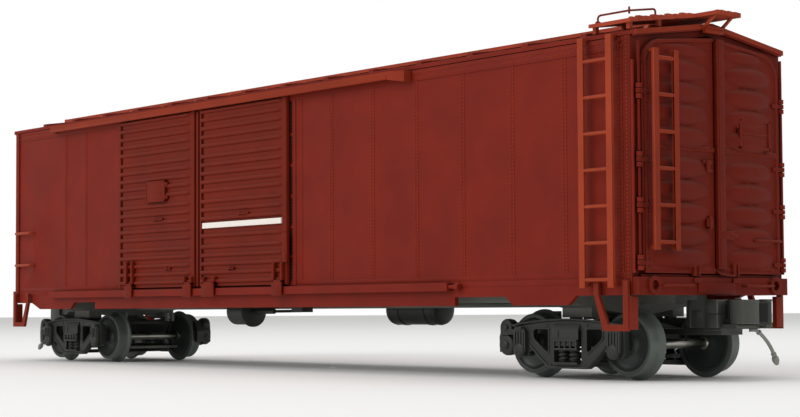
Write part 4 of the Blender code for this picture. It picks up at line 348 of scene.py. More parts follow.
def row(start: Sequence[float], end: Sequence[float], pitch: float) -> np.ndarray:
    """Places in a straight row from start to end, about pitch apart."""
    start, end = np.asarray(start, float), np.asarray(end, float)
    count = max(int(round(np.linalg.norm(end - start) / pitch)), 1) + 1
    return start + (end - start) * np.linspace(0, 1, count)[:, None]


def column(x: float, y: float, low: float, high: float, pitch: float) -> np.ndarray:
    """Places in an upright row."""
    return row((x, y, low), (x, y, high), pitch)


def roof_z(y: float | np.ndarray) -> float | np.ndarray:
    """Height of the roof's sheet: it falls evenly from the ridge to both eaves."""
    return ROOF_PEAK - ROOF_SLOPE * np.abs(y)


def smooth_step(value: np.ndarray) -> np.ndarray:
    """0 below 0, 1 above 1, and 3t^2 - 2t^3 between."""
    t = np.clip(value, 0, 1)
    return t * t * (3 - 2 * t)


# Finishes


def linear(code: str) -> tuple[float, float, float, float]:
    """A colour in sRGB hex as the linear numbers that a shader reads."""
    part = np.array([int(code[i:i + 2], 16) for i in (1, 3, 5)]) / 255
    flat = np.where(part <= 0.04045, part / 12.92, ((part + 0.055) / 1.055) ** 2.4)
    return (*map(float, flat), 1.0)


def add(tree: Tree, kind: str, links: dict | None = None, **settings: object) -> bpy.types.Node:
    """Adds one shader node.

    Args:
        tree: The material's node tree.
        kind: The node's type without its common start.
        links: A value, or another node's output, for each socket by name or number.
        settings: The node's own settings.

    Returns:
        The new node.
    """
    made = tree.nodes.new("ShaderNode" + kind)
    for name, value in settings.items():
        setattr(made, name, value)
    for key, value in (links or {}).items():
        if isinstance(value, Socket):
            tree.links.new(value, made.inputs[key])
        else:
            made.inputs[key].default_value = value
    return made


def ramp(tree: Tree, value: Socket, span: Sequence[float], reach: Sequence[float] = (0.0, 1.0)) -> Socket:
    """A value's way through a span, clamped and stretched to a reach."""
    return add(tree, "MapRange", {"Value": value, "From Min": span[0], "From Max": span[1],
                                  "To Min": reach[0], "To Max": reach[1]}).outputs["Result"]


def blend(tree: Tree, share: Socket, one: object, other: object) -> Socket:
    """A colour mixed with another by a share: (1 - share) one + share other."""
    return add(tree, "Mix", {0: share, 6: one, 7: other}, data_type="RGBA").outputs[2]


def maths(tree: Tree, operation: str, *values: object) -> Socket:
    """The result of one operation on numbers or sockets."""
    return add(tree, "Math", dict(enumerate(values)), operation=operation).outputs[0]


class Grain(Enum):
    """How a finish's finest pattern lies."""

    EVEN = "even"
    ALONG_X = "planks along the car"
    ALONG_Y = "planks across the car"
    TURNED = "rings left by a lathe"


# What all finishes share: the radius that counts as an edge, how far a corner's painted shade reaches, where
# the wheels' bare treads start, and the pale colour of upward faces, a dusting and a painted highlight of
# light from above
EDGE_RADIUS, CORNER_REACH = 0.22, 2.2
TREAD_RADII = (8.1, 8.5)
DUST_AND_TOP_LIGHT_COLOUR = "#A59A8C"


@dataclass(frozen=True)
class Finish:
    """One finish of the model: its colours, gloss, and the real sizes of its patterns in millimetres.

    The colour is the base, a little lighter or darker in soft blotches, paler on upward faces as a dusting
    and a painted highlight of light from above, turned to a second colour along edges that stand free as
    rubbed paint and a painted highlight, and darkened in corners with painted shade.
    """

    name: str
    colour: str
    worn: str
    deep: str
    roughness: float
    metallic: float = 0.0
    grain: Grain = Grain.EVEN
    grain_size: float = 0.28
    grain_height: float = 0.012
    blotch_size: float = 16.0
    blotch_share: float = 0.10
    edge_wear_and_light: float = 0.75
    dust_and_top_light: float = 0.10
    sheen: float = 0.5
    shade: float = 0.85

    def patterns(self, tree: Tree, where: Socket) -> tuple[Socket, Socket]:
        """The finest pattern, stretched along the grain, and the soft blotches.

        Args:
            tree: The material's node tree.
            where: The place in millimetres.
        """
        stretch = {Grain.ALONG_X: (0.05, 1, 1), Grain.ALONG_Y: (1, 0.05, 1)}.get(self.grain, (1, 1, 1))
        lay = add(tree, "Mapping", {"Vector": where, "Scale": stretch}).outputs["Vector"]
        fine = add(tree, "TexNoise", {"Vector": lay, "Scale": 1 / self.grain_size, "Detail": 3.0,
                                      "Roughness": 0.6})
        blotch = add(tree, "TexNoise", {"Vector": where, "Scale": 1 / self.blotch_size, "Detail": 4.0,
                                        "Roughness": 0.55})
        return fine.outputs["Fac"], blotch.outputs["Fac"]

    def worn_and_lit_edges(self, tree: Tree, normal: Socket, open_air: Socket, fine: Socket) -> Socket:
        """The share of the edge colour, rubbed paint with a painted highlight: where a rounded normal leaves
        the true one, in the open, broken up.

        Args:
            tree: The material's node tree.
            normal: The surface's true normal.
            open_air: 1 where nothing is near.
            fine: The finest pattern.
        """
        soft = add(tree, "Bevel", {"Radius": EDGE_RADIUS * MM}, samples=4).outputs["Normal"]
        agree = add(tree, "VectorMath", {0: soft, 1: normal}, operation="DOT_PRODUCT").outputs["Value"]
        edge = maths(tree, "MULTIPLY", ramp(tree, agree, (0.995, 0.80)), ramp(tree, open_air, (0.55, 0.95)))
        edge = maths(tree, "MULTIPLY", edge, ramp(tree, fine, (0.30, 0.60), (0.45, 1.0)))
        return maths(tree, "MULTIPLY", edge, self.edge_wear_and_light)

    def material(self) -> bpy.types.Material:
        """Builds the material from nodes."""
        made = bpy.data.materials.new(self.name)
        made.use_nodes = True
        tree = made.node_tree
        shader = tree.nodes["Principled BSDF"]
        where = add(tree, "VectorMath", {0: add(tree, "TexCoord").outputs["Object"], "Scale": 1 / MM},
                    operation="SCALE").outputs["Vector"]
        fine, blotch = self.patterns(tree, where)
        normal = add(tree, "NewGeometry").outputs["Normal"]
        open_air = add(tree, "AmbientOcclusion", {"Distance": CORNER_REACH * MM}, samples=6).outputs["AO"]
        low, high = (
            (*(min(part * share, 1) for part in linear(self.colour)[:3]), 1.0)
            for share in (1 - self.blotch_share, 1 + self.blotch_share)
        )
        colour = blend(tree, ramp(tree, blotch, (0.35, 0.65)), low, high)
        fleck = ramp(tree, fine, (0.35, 0.65), (0.94, 1.06))
        colour = add(tree, "VectorMath", {0: colour, "Scale": fleck}, operation="SCALE").outputs["Vector"]
        # Upward faces paler: a dusting, and a painted highlight of the light from above
        facing = add(tree, "SeparateXYZ", {0: normal}).outputs["Z"]
        colour = blend(tree, ramp(tree, facing, (0.3, 1.0), (0.0, self.dust_and_top_light)), colour, linear(DUST_AND_TOP_LIGHT_COLOUR))
        # Painted shade: darker toward the deep colour in corners and grooves, where occlusion finds something
        # near
        colour = blend(tree, ramp(tree, open_air, (0.62, 0.18), (0.0, self.shade)), colour, linear(self.deep))
        # Rubbed paint and a painted highlight along free edges
        colour = blend(tree, self.worn_and_lit_edges(tree, normal, open_air, fine), colour, linear(self.worn))
        height = fine
        if self.grain is Grain.TURNED:
            height, tread = self.rings(tree, where)
            colour = blend(tree, tread, colour, linear(self.worn))
        tree.links.new(colour, shader.inputs["Base Color"])
        shader.inputs["Metallic"].default_value = self.metallic
        shader.inputs["Specular IOR Level"].default_value = self.sheen
        gloss = ramp(tree, blotch, (0.3, 0.7), (self.roughness - 0.05, self.roughness + 0.06))
        tree.links.new(gloss, shader.inputs["Roughness"])
        bump = add(tree, "Bump", {"Height": height, "Strength": 0.6, "Distance": self.grain_height * MM})
        tree.links.new(bump.outputs["Normal"], shader.inputs["Normal"])
        return made

    def rings(self, tree: Tree, where: Socket) -> tuple[Socket, Socket]:
        """Fine rings about both axles of a truck, and the share of the bare tread.

        Args:
            tree: The material's node tree.
            where: The place in millimetres.

        Returns:
            Waves of the distance from the nearer axle, and a share that rises from 0 to half at the tread.
        """
        parts = add(tree, "SeparateXYZ", {0: where}).outputs
        out = maths(tree, "SUBTRACT", maths(tree, "ABSOLUTE", parts["X"]), TRUCK_X)
        out = maths(tree, "SUBTRACT", maths(tree, "ABSOLUTE", out), HALF_BASE)
        height = maths(tree, "SUBTRACT", parts["Z"], AXLE_Z)
        flat = add(tree, "CombineXYZ", {"X": out, "Y": height}).outputs["Vector"]
        far = add(tree, "VectorMath", {0: flat}, operation="LENGTH").outputs["Value"]
        turns = maths(tree, "MULTIPLY", far, 2 * math.pi / self.grain_size)
        return maths(tree, "SINE", turns), ramp(tree, far, TREAD_RADII, (0.0, 0.55))


# What the finishes of one making share: stained planks, tumbled castings
STAINED = {"grain_size": 0.42, "grain_height": 0.07, "blotch_share": 0.20, "sheen": 0.2}
TUMBLED = {"metallic": 0.3, "grain_size": 0.4, "grain_height": 0.03, "shade": 0.6}


class Coat(Enum):
    """Every finish on the car: real materials, each with what its making gives the eye; some also carry
    painted light and shade.
    """

    # Sprayed enamel on ABS: an even, slightly blotchy oxide red, matt, pale along edges as rubbed paint and
    # painted highlight, dark in corners as painted shade
    BODY = Finish("oxide_red_enamel_on_abs", "#7A2215", "#A33F2B", "#1A0503", 0.50, sheen=0.1)
    # The same on flat side sheets, where thin laps and rivets show only softly
    SIDE = Finish("oxide_red_enamel_on_side_sheets", "#7A2215", "#8C3021", "#2A0A06", 0.50, sheen=0.1,
                  shade=0.3, edge_wear_and_light=0.5)
    # Sprayed over pressed corrugations: darker and browner as painted shade of the pressings, with painted
    # shade in the grooves between the ribs
    DOOR = Finish("oxide_red_enamel_on_door_pressings", "#711F0E", "#94382A", "#160402", 0.52, sheen=0.1)
    # The same over the deep pressings of the ends, darker as painted shade on the end, with painted
    # highlights on the crests
    END = Finish("oxide_red_enamel_on_end_pressings", "#6C1E12", "#A2452F", "#100202", 0.52, sheen=0.08,
                 edge_wear_and_light=1.0)
    # A second, warmer coat on separate rails and ladders, so that they stand out from the walls
    RAIL = Finish("oxide_red_enamel_on_door_rails", "#8A2F18", "#AC4A33", "#210704", 0.50, sheen=0.1)
    STEP = Finish("oxide_red_enamel_on_bent_strap", "#7E2A19", "#A8482F", "#210704", 0.50, sheen=0.1)
    # Fittings moulded in coloured ABS and lightly sprayed: the brightest orange red
    FITTING = Finish("bright_oxide_enamel_on_abs", "#9C3A1F", "#C2603F", "#2A0C06", 0.48, sheen=0.15)
    # Moulded planks, stained: streaks along the grain, dull
    PLANKS = Finish("oxide_stained_moulded_planks_lengthways", "#A23C22", "#C2603F", "#38130C", 0.60,
                    grain=Grain.ALONG_X, **STAINED)
    CROSS_PLANKS = Finish("oxide_stained_moulded_planks_crossways", "#A23C22", "#C2603F", "#38130C", 0.60,
                          grain=Grain.ALONG_Y, **STAINED)
    # Chemically blackened zinc castings: near black, grainy, grey along free edges, rubbed where handled and
    # a painted highlight
    CASTING = Finish("blackened_die_cast_zinc", "#292B27", "#636962", "#0D0E0C", 0.46, metallic=0.25,
                     grain_size=0.35, grain_height=0.03, edge_wear_and_light=0.6, shade=0.6)
    # Turned and blackened steel: rings left by the lathe, and a tread polished pale by the track
    WHEEL = Finish("blackened_turned_wheel_steel", "#383E3B", "#727B76", "#131413", 0.40, metallic=0.25,
                   grain=Grain.TURNED, grain_size=0.33, grain_height=0.006, edge_wear_and_light=0.6, shade=0.5)
    # Drawn rod, left bare: bright, with sharp reflections
    STEEL = Finish("bright_drawn_axle_steel", "#B4B2AA", "#C9C8C2", "#2A2925", 0.26, metallic=1.0, edge_wear_and_light=0.3)
    # Tumbled castings: blackened, with softened pale edges as rubbed metal and painted highlight; some faces
    # painted lighter as a painted highlight, and recesses painted dark as painted shade
    COUPLER = Finish("tumbled_die_cast_coupler", "#30332D", "#7C8079", "#0A0B0A", 0.40, edge_wear_and_light=0.8, **TUMBLED)
    JAW_LIT = Finish("painted_highlight_on_coupler_faces", "#43453E", "#9A9C94", "#171816", 0.38, edge_wear_and_light=0.9, **TUMBLED)
    # Painted shade: near black for the shadow in the coupler's recesses
    HOLLOW_SHADE = Finish("painted_shade_in_coupler_recess", "#0F100E", "#2C2E2A", "#050505", 0.6, metallic=0.2, edge_wear_and_light=0.2)
    # Stamped steel and a grey-green moulding under the car: dull and plain
    FLOOR = Finish("grey_stamped_steel_floor", "#6A6C68", "#8E908C", "#1D1E1C", 0.5, metallic=0.5)
    UNDERFRAME = Finish("grey_green_moulded_underframe", "#66665F", "#8A8D86", "#191A18", 0.52, shade=0.6)
    # Pad-printed ink, an opaque film with an even edge
    CREAM = Finish("cream_pad_printed_ink", "#F6EEE6", "#FFFFFF", "#B7A799", 0.45, edge_wear_and_light=0.2,
                   blotch_share=0.02)
    # Painted shade: a dark strip standing for the shadow in a joint
    GAP_SHADE = Finish("painted_shade_in_a_joint", "#2B0D08", "#5A2118", "#0C0202", 0.6, sheen=0.1, edge_wear_and_light=0.3)
    # Unpainted grey plastic, satin
    HOSE = Finish("light_grey_moulded_hose", "#8A8C83", "#B4B5AD", "#2B2C29", 0.55)


class Slot(Enum):
    """The record's material slots."""

    PAINT = "oxide_red_paint"
    FITTINGS = "oxide_red_fittings"
    CASTING = "blackened_casting"
    WHEEL = "blackened_wheel"
    METAL = "grey_metal"


class Workshop:
    """Turns skins and CAD nodes into finished pieces that ride on the frame's bodies.

    Edges that turn more than the sharp angles, in degrees, stay sharp; those over the bevel angle get round.
    Points closer than the merge distances, in millimetres, become one.
    """

    skin_sharp, mould_sharp, mould_bevel, mould_flat = 38, 50, 28, 1
    skin_merge, mould_merge = 0.0005, 0.001

    def __init__(self, frame: dict) -> None:
        """Keeps the frame and makes each finish once.
        """
        self.nodes = frame["nodes"]
        self.materials = {coat: coat.value.material() for coat in Coat}
        self.left = set(self.nodes)

    def body_of(self, node: str) -> str:
        """The CAD body that a node is on."""
        return self.nodes[node]["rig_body"]

    def slot_of(self, node: str) -> Slot:
        """The record's slot of a CAD node, which is its material's name."""
        return Slot(self.nodes[node].data.materials[0].name.split(".")[0])

    def place(self, name: str, skin: Skin, coat: Coat, slot: Slot, body: str,
              replaces: Sequence[str] = ()) -> Piece:
        """Makes one finished piece of a skin.

        Args:
            name: The piece's name.
            skin: Its points and faces.
            coat: Its finish.
            slot: The record's slot; not used.
            body: The CAD body that it rides on.
            replaces: CAD nodes that it stands for.

        Returns:
            The piece's object, at the origin.
        """
        mesh = bpy.data.meshes.new(name)
        corners = np.concatenate([f.ravel() for f in skin.faces]).astype(np.int32)
        counts = np.concatenate([np.full(len(f), f.shape[1]) for f in skin.faces]).astype(np.int32)
        mesh.vertices.add(len(skin.points))
        mesh.vertices.foreach_set("co", (skin.points * MM).astype(np.float32).ravel())
        mesh.loops.add(len(corners))
        mesh.loops.foreach_set("vertex_index", corners)
        mesh.polygons.add(len(counts))
        starts = np.concatenate(([0], np.cumsum(counts)[:-1]))
        mesh.polygons.foreach_set("loop_start", starts.astype(np.int32))
        mesh.update(calc_edges=True)
        shape = bmesh.new()
        shape.from_mesh(mesh)
        bmesh.ops.remove_doubles(shape, verts=shape.verts, dist=self.skin_merge * MM)
        bmesh.ops.recalc_face_normals(shape, faces=shape.faces)
        shape.to_mesh(mesh)
        shape.free()
        mesh.polygons.foreach_set("use_smooth", np.ones(len(mesh.polygons), bool))
        mesh.set_sharp_from_angle(angle=math.radians(self.skin_sharp))
        piece = bpy.data.objects.new(name, mesh)
        return self.finish(piece, coat, body, replaces)

    def pair(self, name: str, skin: Skin, coat: Coat, slot: Slot, turns: dict[str, np.ndarray]) -> None:
        """Makes two pieces of one skin on the car's body: as it is, and turned half round."""
        for key, flip in turns.items():
            self.place(f"{name}_{key}", skin.turned(flip), coat, slot, "car_body")

    def finish(self, piece: Piece, coat: Coat, body: str,
               replaces: Sequence[str]) -> Piece:
        bpy.context.scene.collection.objects.link(piece)
        piece.data.materials.append(self.materials[coat])
        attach(piece, body)
        if replaces:
            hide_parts(*replaces)
            self.left -= set(replaces)
        LOG.info("%s: %d faces on %s", piece.name, len(piece.data.polygons), body)
        return piece

    def moulded(self, node: str, coat: Coat, edge: float,
                press: Callable[[np.ndarray], np.ndarray] | None = None) -> Piece:
        """A CAD node's own shape with the round edges and even shading of a moulding.

        A copy of the node is merged, its flat faces are joined, and two rounds of bevel soften its edges.

        Args:
            node: The CAD node.
            coat: Its finish.
            edge: Radius of the edges.
            press: Gives the corners' places, in millimetres, a last small correction.
        """
        mesh = self.nodes[node].data.copy()
        if press is not None:
            spots = np.empty(3 * len(mesh.vertices))
            mesh.vertices.foreach_get("co", spots)
            mesh.vertices.foreach_set("co", (press(spots.reshape(-1, 3) / MM) * MM).ravel())
        mesh.materials.clear()
        shape = bmesh.new()
        shape.from_mesh(mesh)
        bmesh.ops.remove_doubles(shape, verts=shape.verts, dist=self.mould_merge * MM)
        flat = math.radians(self.mould_flat)
        bmesh.ops.dissolve_limit(shape, angle_limit=flat, verts=shape.verts, edges=shape.edges)
        shape.to_mesh(mesh)
        shape.free()
        mesh.polygons.foreach_set("use_smooth", np.ones(len(mesh.polygons), bool))
        mesh.set_sharp_from_angle(angle=math.radians(self.mould_sharp))
        mesh.name = node + "_moulding"
        piece = bpy.data.objects.new(node + "_moulding", mesh)
        round_off = piece.modifiers.new("round_edges", "BEVEL")
        round_off.width = edge * MM
        round_off.segments = 2
        round_off.limit_method = "ANGLE"
        round_off.angle_limit = math.radians(self.mould_bevel)
        round_off.use_clamp_overlap = True
        round_off.harden_normals = True
        return self.finish(piece, coat, self.body_of(node), (node,))

    def mould_the_rest(self) -> None:
        """Every CAD node that no other piece stands for gets its finish as a moulding."""
        coats = {Slot.PAINT: Coat.BODY, Slot.FITTINGS: Coat.FITTING, Slot.CASTING: Coat.CASTING,
                 Slot.WHEEL: Coat.WHEEL, Slot.METAL: Coat.FLOOR}
        special = {
            Coat.PLANKS: ("running_board",), Coat.CROSS_PLANKS: ("corner_board", "brake_step"),
            Coat.RAIL: ("end_door_ladder", "plain_end_ladder", "upper_door_track"),
            Coat.STEP: ("stirrup",), Coat.END: ("door_end_frame", "end_sill"),
            Coat.UNDERFRAME: ("underframe",), Coat.STEEL: ("pivot",), Coat.COUPLER: ("coupler",),
            # Painted highlight: the knuckle takes the lighter coupler coat
            Coat.JAW_LIT: ("knuckle",),
        }
        for node in sorted(self.left):
            fitting = (coat for coat, starts in special.items() if node.startswith(starts))
            self.moulded(node, next(fitting, coats[self.slot_of(node)]), MOULD_EDGE)


# Side doors


@dataclass
class SideDoor:
    """One corrugated sliding door of the near side, turned for the far side."""

    name: str
    left: float
    width: float
    shoes: tuple[tuple[float, float, float], ...]
    pulls: tuple[tuple[float, float, float], ...]
    hatch: bool
    bottom: float = 27.9
    top: float = 88.4
    back: float = 31.6
    face: float = 32.6
    frame: float = 2.2
    frame_height: float = 0.3
    notch_from: float = 1.05
    notch_depth: float = 0.55
    rib_width: float = 1.42
    rib_height: float = 0.7
    lowest_rib: float = 29.6
    hangers: tuple[float, float] = (0.18, 0.82)
    band: tuple[float, float] = (47.7, 49.6)
    shoe_front: float = 34.15
    hatch_at: tuple[float, float] = (0.518, 0.565)
    hatch_size: tuple[float, float] = (12.4, 7.5)
    lock: tuple[float, float] = (0.119, 0.276)

    def reach(self, middle: float, wide: float) -> list[float]:
        """X of both ends of a part, from its middle and width as shares of the door's width."""
        return [self.left + self.width * (middle + s * wide / 2) for s in (-1, 1)]

    def rib_heights(self) -> np.ndarray:
        """Z of each rib: four groups of five, 2.95 apart, the groups 15.55 apart."""
        return (self.lowest_rib + 15.55 * np.arange(4)[:, None] + 2.95 * np.arange(5)).ravel()

    def sheet(self) -> Skin:
        """The pressed sheet: y = -(face + frame step + rib), a rib being half an ellipse across.

        The ribs start at the left edge's strip, with a notch sunk between each two, and die out at the right.
        """
        right = self.left + self.width
        ribs = self.rib_heights()
        half = self.rib_width / 2
        across = np.sin(np.linspace(-np.pi / 2, np.pi / 2, 11)) * half
        z = np.concatenate(((ribs[:, None] + across).ravel(), ribs - half - 0.12, ribs + half + 0.12, [
            self.bottom, self.bottom + 0.12, self.bottom + 0.3, self.top, self.top - 0.12, self.top - 0.3,
        ]))
        z = np.unique(np.round(z, 4))
        start, end = self.left + self.frame, right - self.frame
        strip = self.left + self.notch_from
        x = np.unique(np.round(np.concatenate((
            [self.left, self.left + 0.08, self.left + 0.18, strip - 0.16, strip - 0.08, strip, strip + 0.12],
            start + np.array([-0.25, -0.12, 0, 0.12]), np.linspace(start + 2, end - 2.4, 12),
            end + np.array([-1.6, -1.2, -0.8, -0.4, -0.1, 0, 0.08]), [right - 0.18, right - 0.08, right],
        )), 4))
        gx, gz = np.meshgrid(x, z)
        nearest = ribs[np.abs(gz[..., None] - ribs).argmin(axis=-1)]
        t = np.clip(np.abs(gz - nearest) / half, 0, 1)
        rib = self.rib_height * np.sqrt(1 - t ** 2) * smooth_step((end - gx) / 1.6)
        rib *= smooth_step((gx - strip + 0.16) / 0.16)
        notch = smooth_step((gx - strip) / 0.12) * smooth_step((start - gx) / 0.25)
        inside = (gz > ribs[0] - half) & (gz < ribs[-1] + half)
        notch *= smooth_step((np.abs(gz - nearest) - half) / 0.12) * inside
        left_step = smooth_step((gx - self.left) / 0.16) * smooth_step((strip - gx) / 0.08 + 0.5)
        right_step = smooth_step((gx - end) / 0.08) * smooth_step((right - gx) / 0.16)
        frame = self.frame_height * np.maximum(left_step, right_step)
        out = self.face - self.notch_depth * notch + np.maximum(rib, frame)
        return slab(grid(gx, -out, gz), grid(gx, -self.back, gz))

    def fittings(self) -> Skin:
        """Hangers, shoes and their brackets, pulls, and the hatch or the lock bar."""
        tall, right = self.top - self.bottom, self.left + self.width
        crest, front = -self.face - self.rib_height, -self.face - self.frame_height
        rows, parts = [], []
        for share in self.hangers:
            x = self.left + share * self.width
            rows.append((x - 3, -self.face, self.top - 0.4, x + 3, -self.back, self.top + 1.6))
        for middle, span, rise in self.shoes:
            start, end = self.reach(middle, span)
            head, out = self.bottom + tall * rise, -self.shoe_front
            rows.append((start, out - 0.25, self.bottom - 3.6, end, out + 0.35, self.bottom + 0.9))
            rows.append((start, out, self.bottom + 0.4, end, -self.face + 0.4, self.bottom + 1.5))
            arms = (start + 0.45, end - 0.45)
            rows += [(x - 0.45, out, self.bottom + 0.5, x + 0.45, -self.face + 0.4, head) for x in arms]
            bolts = [(x, out, z) for x in arms for z in (self.bottom + 2.0, head - 0.6)]
            parts.append(domes(np.array(bolts), -ACROSS, 0.30, 0.2))
        for across, up, span in self.pulls:
            start, end = self.reach(across, span)
            z = self.bottom + tall * up + 0.45
            line = [(start, crest + 0.7, z), (start, crest - 0.25, z),
                    (end, crest - 0.25, z), (end, crest + 0.7, z)]
            parts.append(wire(line, 0.26, bend=0.5))
            rows += [(x - 0.42, crest - 0.1, z - 0.5, x + 0.42, -self.face + 0.3, z + 0.5)
                     for x in (start, end)]
        for x in (self.left + 0.55, right - 1.1):
            rivets = column(x, front, self.bottom + 1, self.top - 1, 1.48)
            parts.append(domes(rivets, -ACROSS, 0.2, 0.13))
        if self.hatch:
            x, z = self.left + self.hatch_at[0] * self.width, self.bottom + self.hatch_at[1] * tall
            face, wide, high = crest - 0.4, self.hatch_size[0] / 2, self.hatch_size[1] / 2
            rows.append((x - wide, face + 0.12, z - high, x + wide, -self.face + 0.4, z + high))
            rim = [(-wide, -high, wide, -3.15), (-wide, 3.15, wide, high), (-wide, -high, -5.6, high),
                   (5.6, -high, wide, high), (-wide, -0.22, wide, 0.22)]
            rows += [(x + a, face, z + b, x + c, face + 0.5, z + d) for a, b, c, d in rim]
            rows += [(x + 6.0, face + 0.2, z + s - 0.7, x + 7.4, -self.face, z + s + 0.7)
                     for s in (-2.2, 2.2)]
        else:
            rows += [(self.left - 1.85, -32.95, self.bottom, self.left - 0.8, -31.7, self.top),
                     (self.left - 1.0, -32.1, self.bottom, self.left + 0.1, -31.7, self.top)]
            low, high = (self.bottom + tall * share for share in self.lock)
            rows.append((right - 1.6, front - 0.6, low, right + 0.8, -self.face + 0.2, high))
            rows.append((right - 1.3, front - 0.75, low + 1.2, right + 0.5, front, low + 2.6))
            bolts = column(right - 0.4, front - 0.6, low + 4, high - 0.7, 1.9)
            parts.append(domes(bolts, -ACROSS, 0.3, 0.2))
        return together([blocks(rows, 0.11), *parts])

    def build(self, shop: Workshop) -> None:
        """Makes the door on both sides, with the cream band on the one without a hatch."""
        skin = self.sheet() + self.fittings()
        for side, flip in SIDES.items():
            node = f"{self.name}_{side}"
            shop.place(node + "_sheet", skin.turned(flip), Coat.DOOR, Slot.PAINT, node, (node,))
        if self.hatch:
            return
        low, high = self.band
        band = blocks([(self.left + 2.35, -33.42, low, self.left + self.width - 2.3, -32.7, high)], 0.14, 3)
        for side, flip in SIDES.items():
            shop.place(f"cream_band_{side}", band.turned(flip), Coat.CREAM, Slot.PAINT, f"{self.name}_{side}")


# Ends


@dataclass
class PressedRibs:
    """Ribs pressed into a wall, each tapering to a point at both ends."""

    inner: float
    outer: float
    heights: tuple[float, ...]
    half_height: float
    depth: float

    def rise(self, y: np.ndarray, z: np.ndarray) -> np.ndarray:
        """How far the wall stands out at each point.

        With s from -1 to 1 along a rib, its half height is w = w0 (0.28 + 0.82 (1 - s^2)^0.7) and its crest
        d (1 - |s|^2.4); with t the distance from the crest over w, the rise falls as (1 - t^2.2)^0.8.
        """
        s = np.clip(2 * (y - self.inner) / (self.outer - self.inner) - 1, -1, 1)
        body = 1 - np.abs(s) ** 2.4
        wide = self.half_height * (0.28 + 0.82 * np.clip(1 - s ** 2, 0, 1) ** 0.7)
        total = np.zeros_like(y)
        for height in self.heights:
            t = np.clip(np.abs(z - height) / wide, 0, 1)
            total = np.maximum(total, self.depth * body * (1 - t ** 2.2) ** 0.8)
        return total


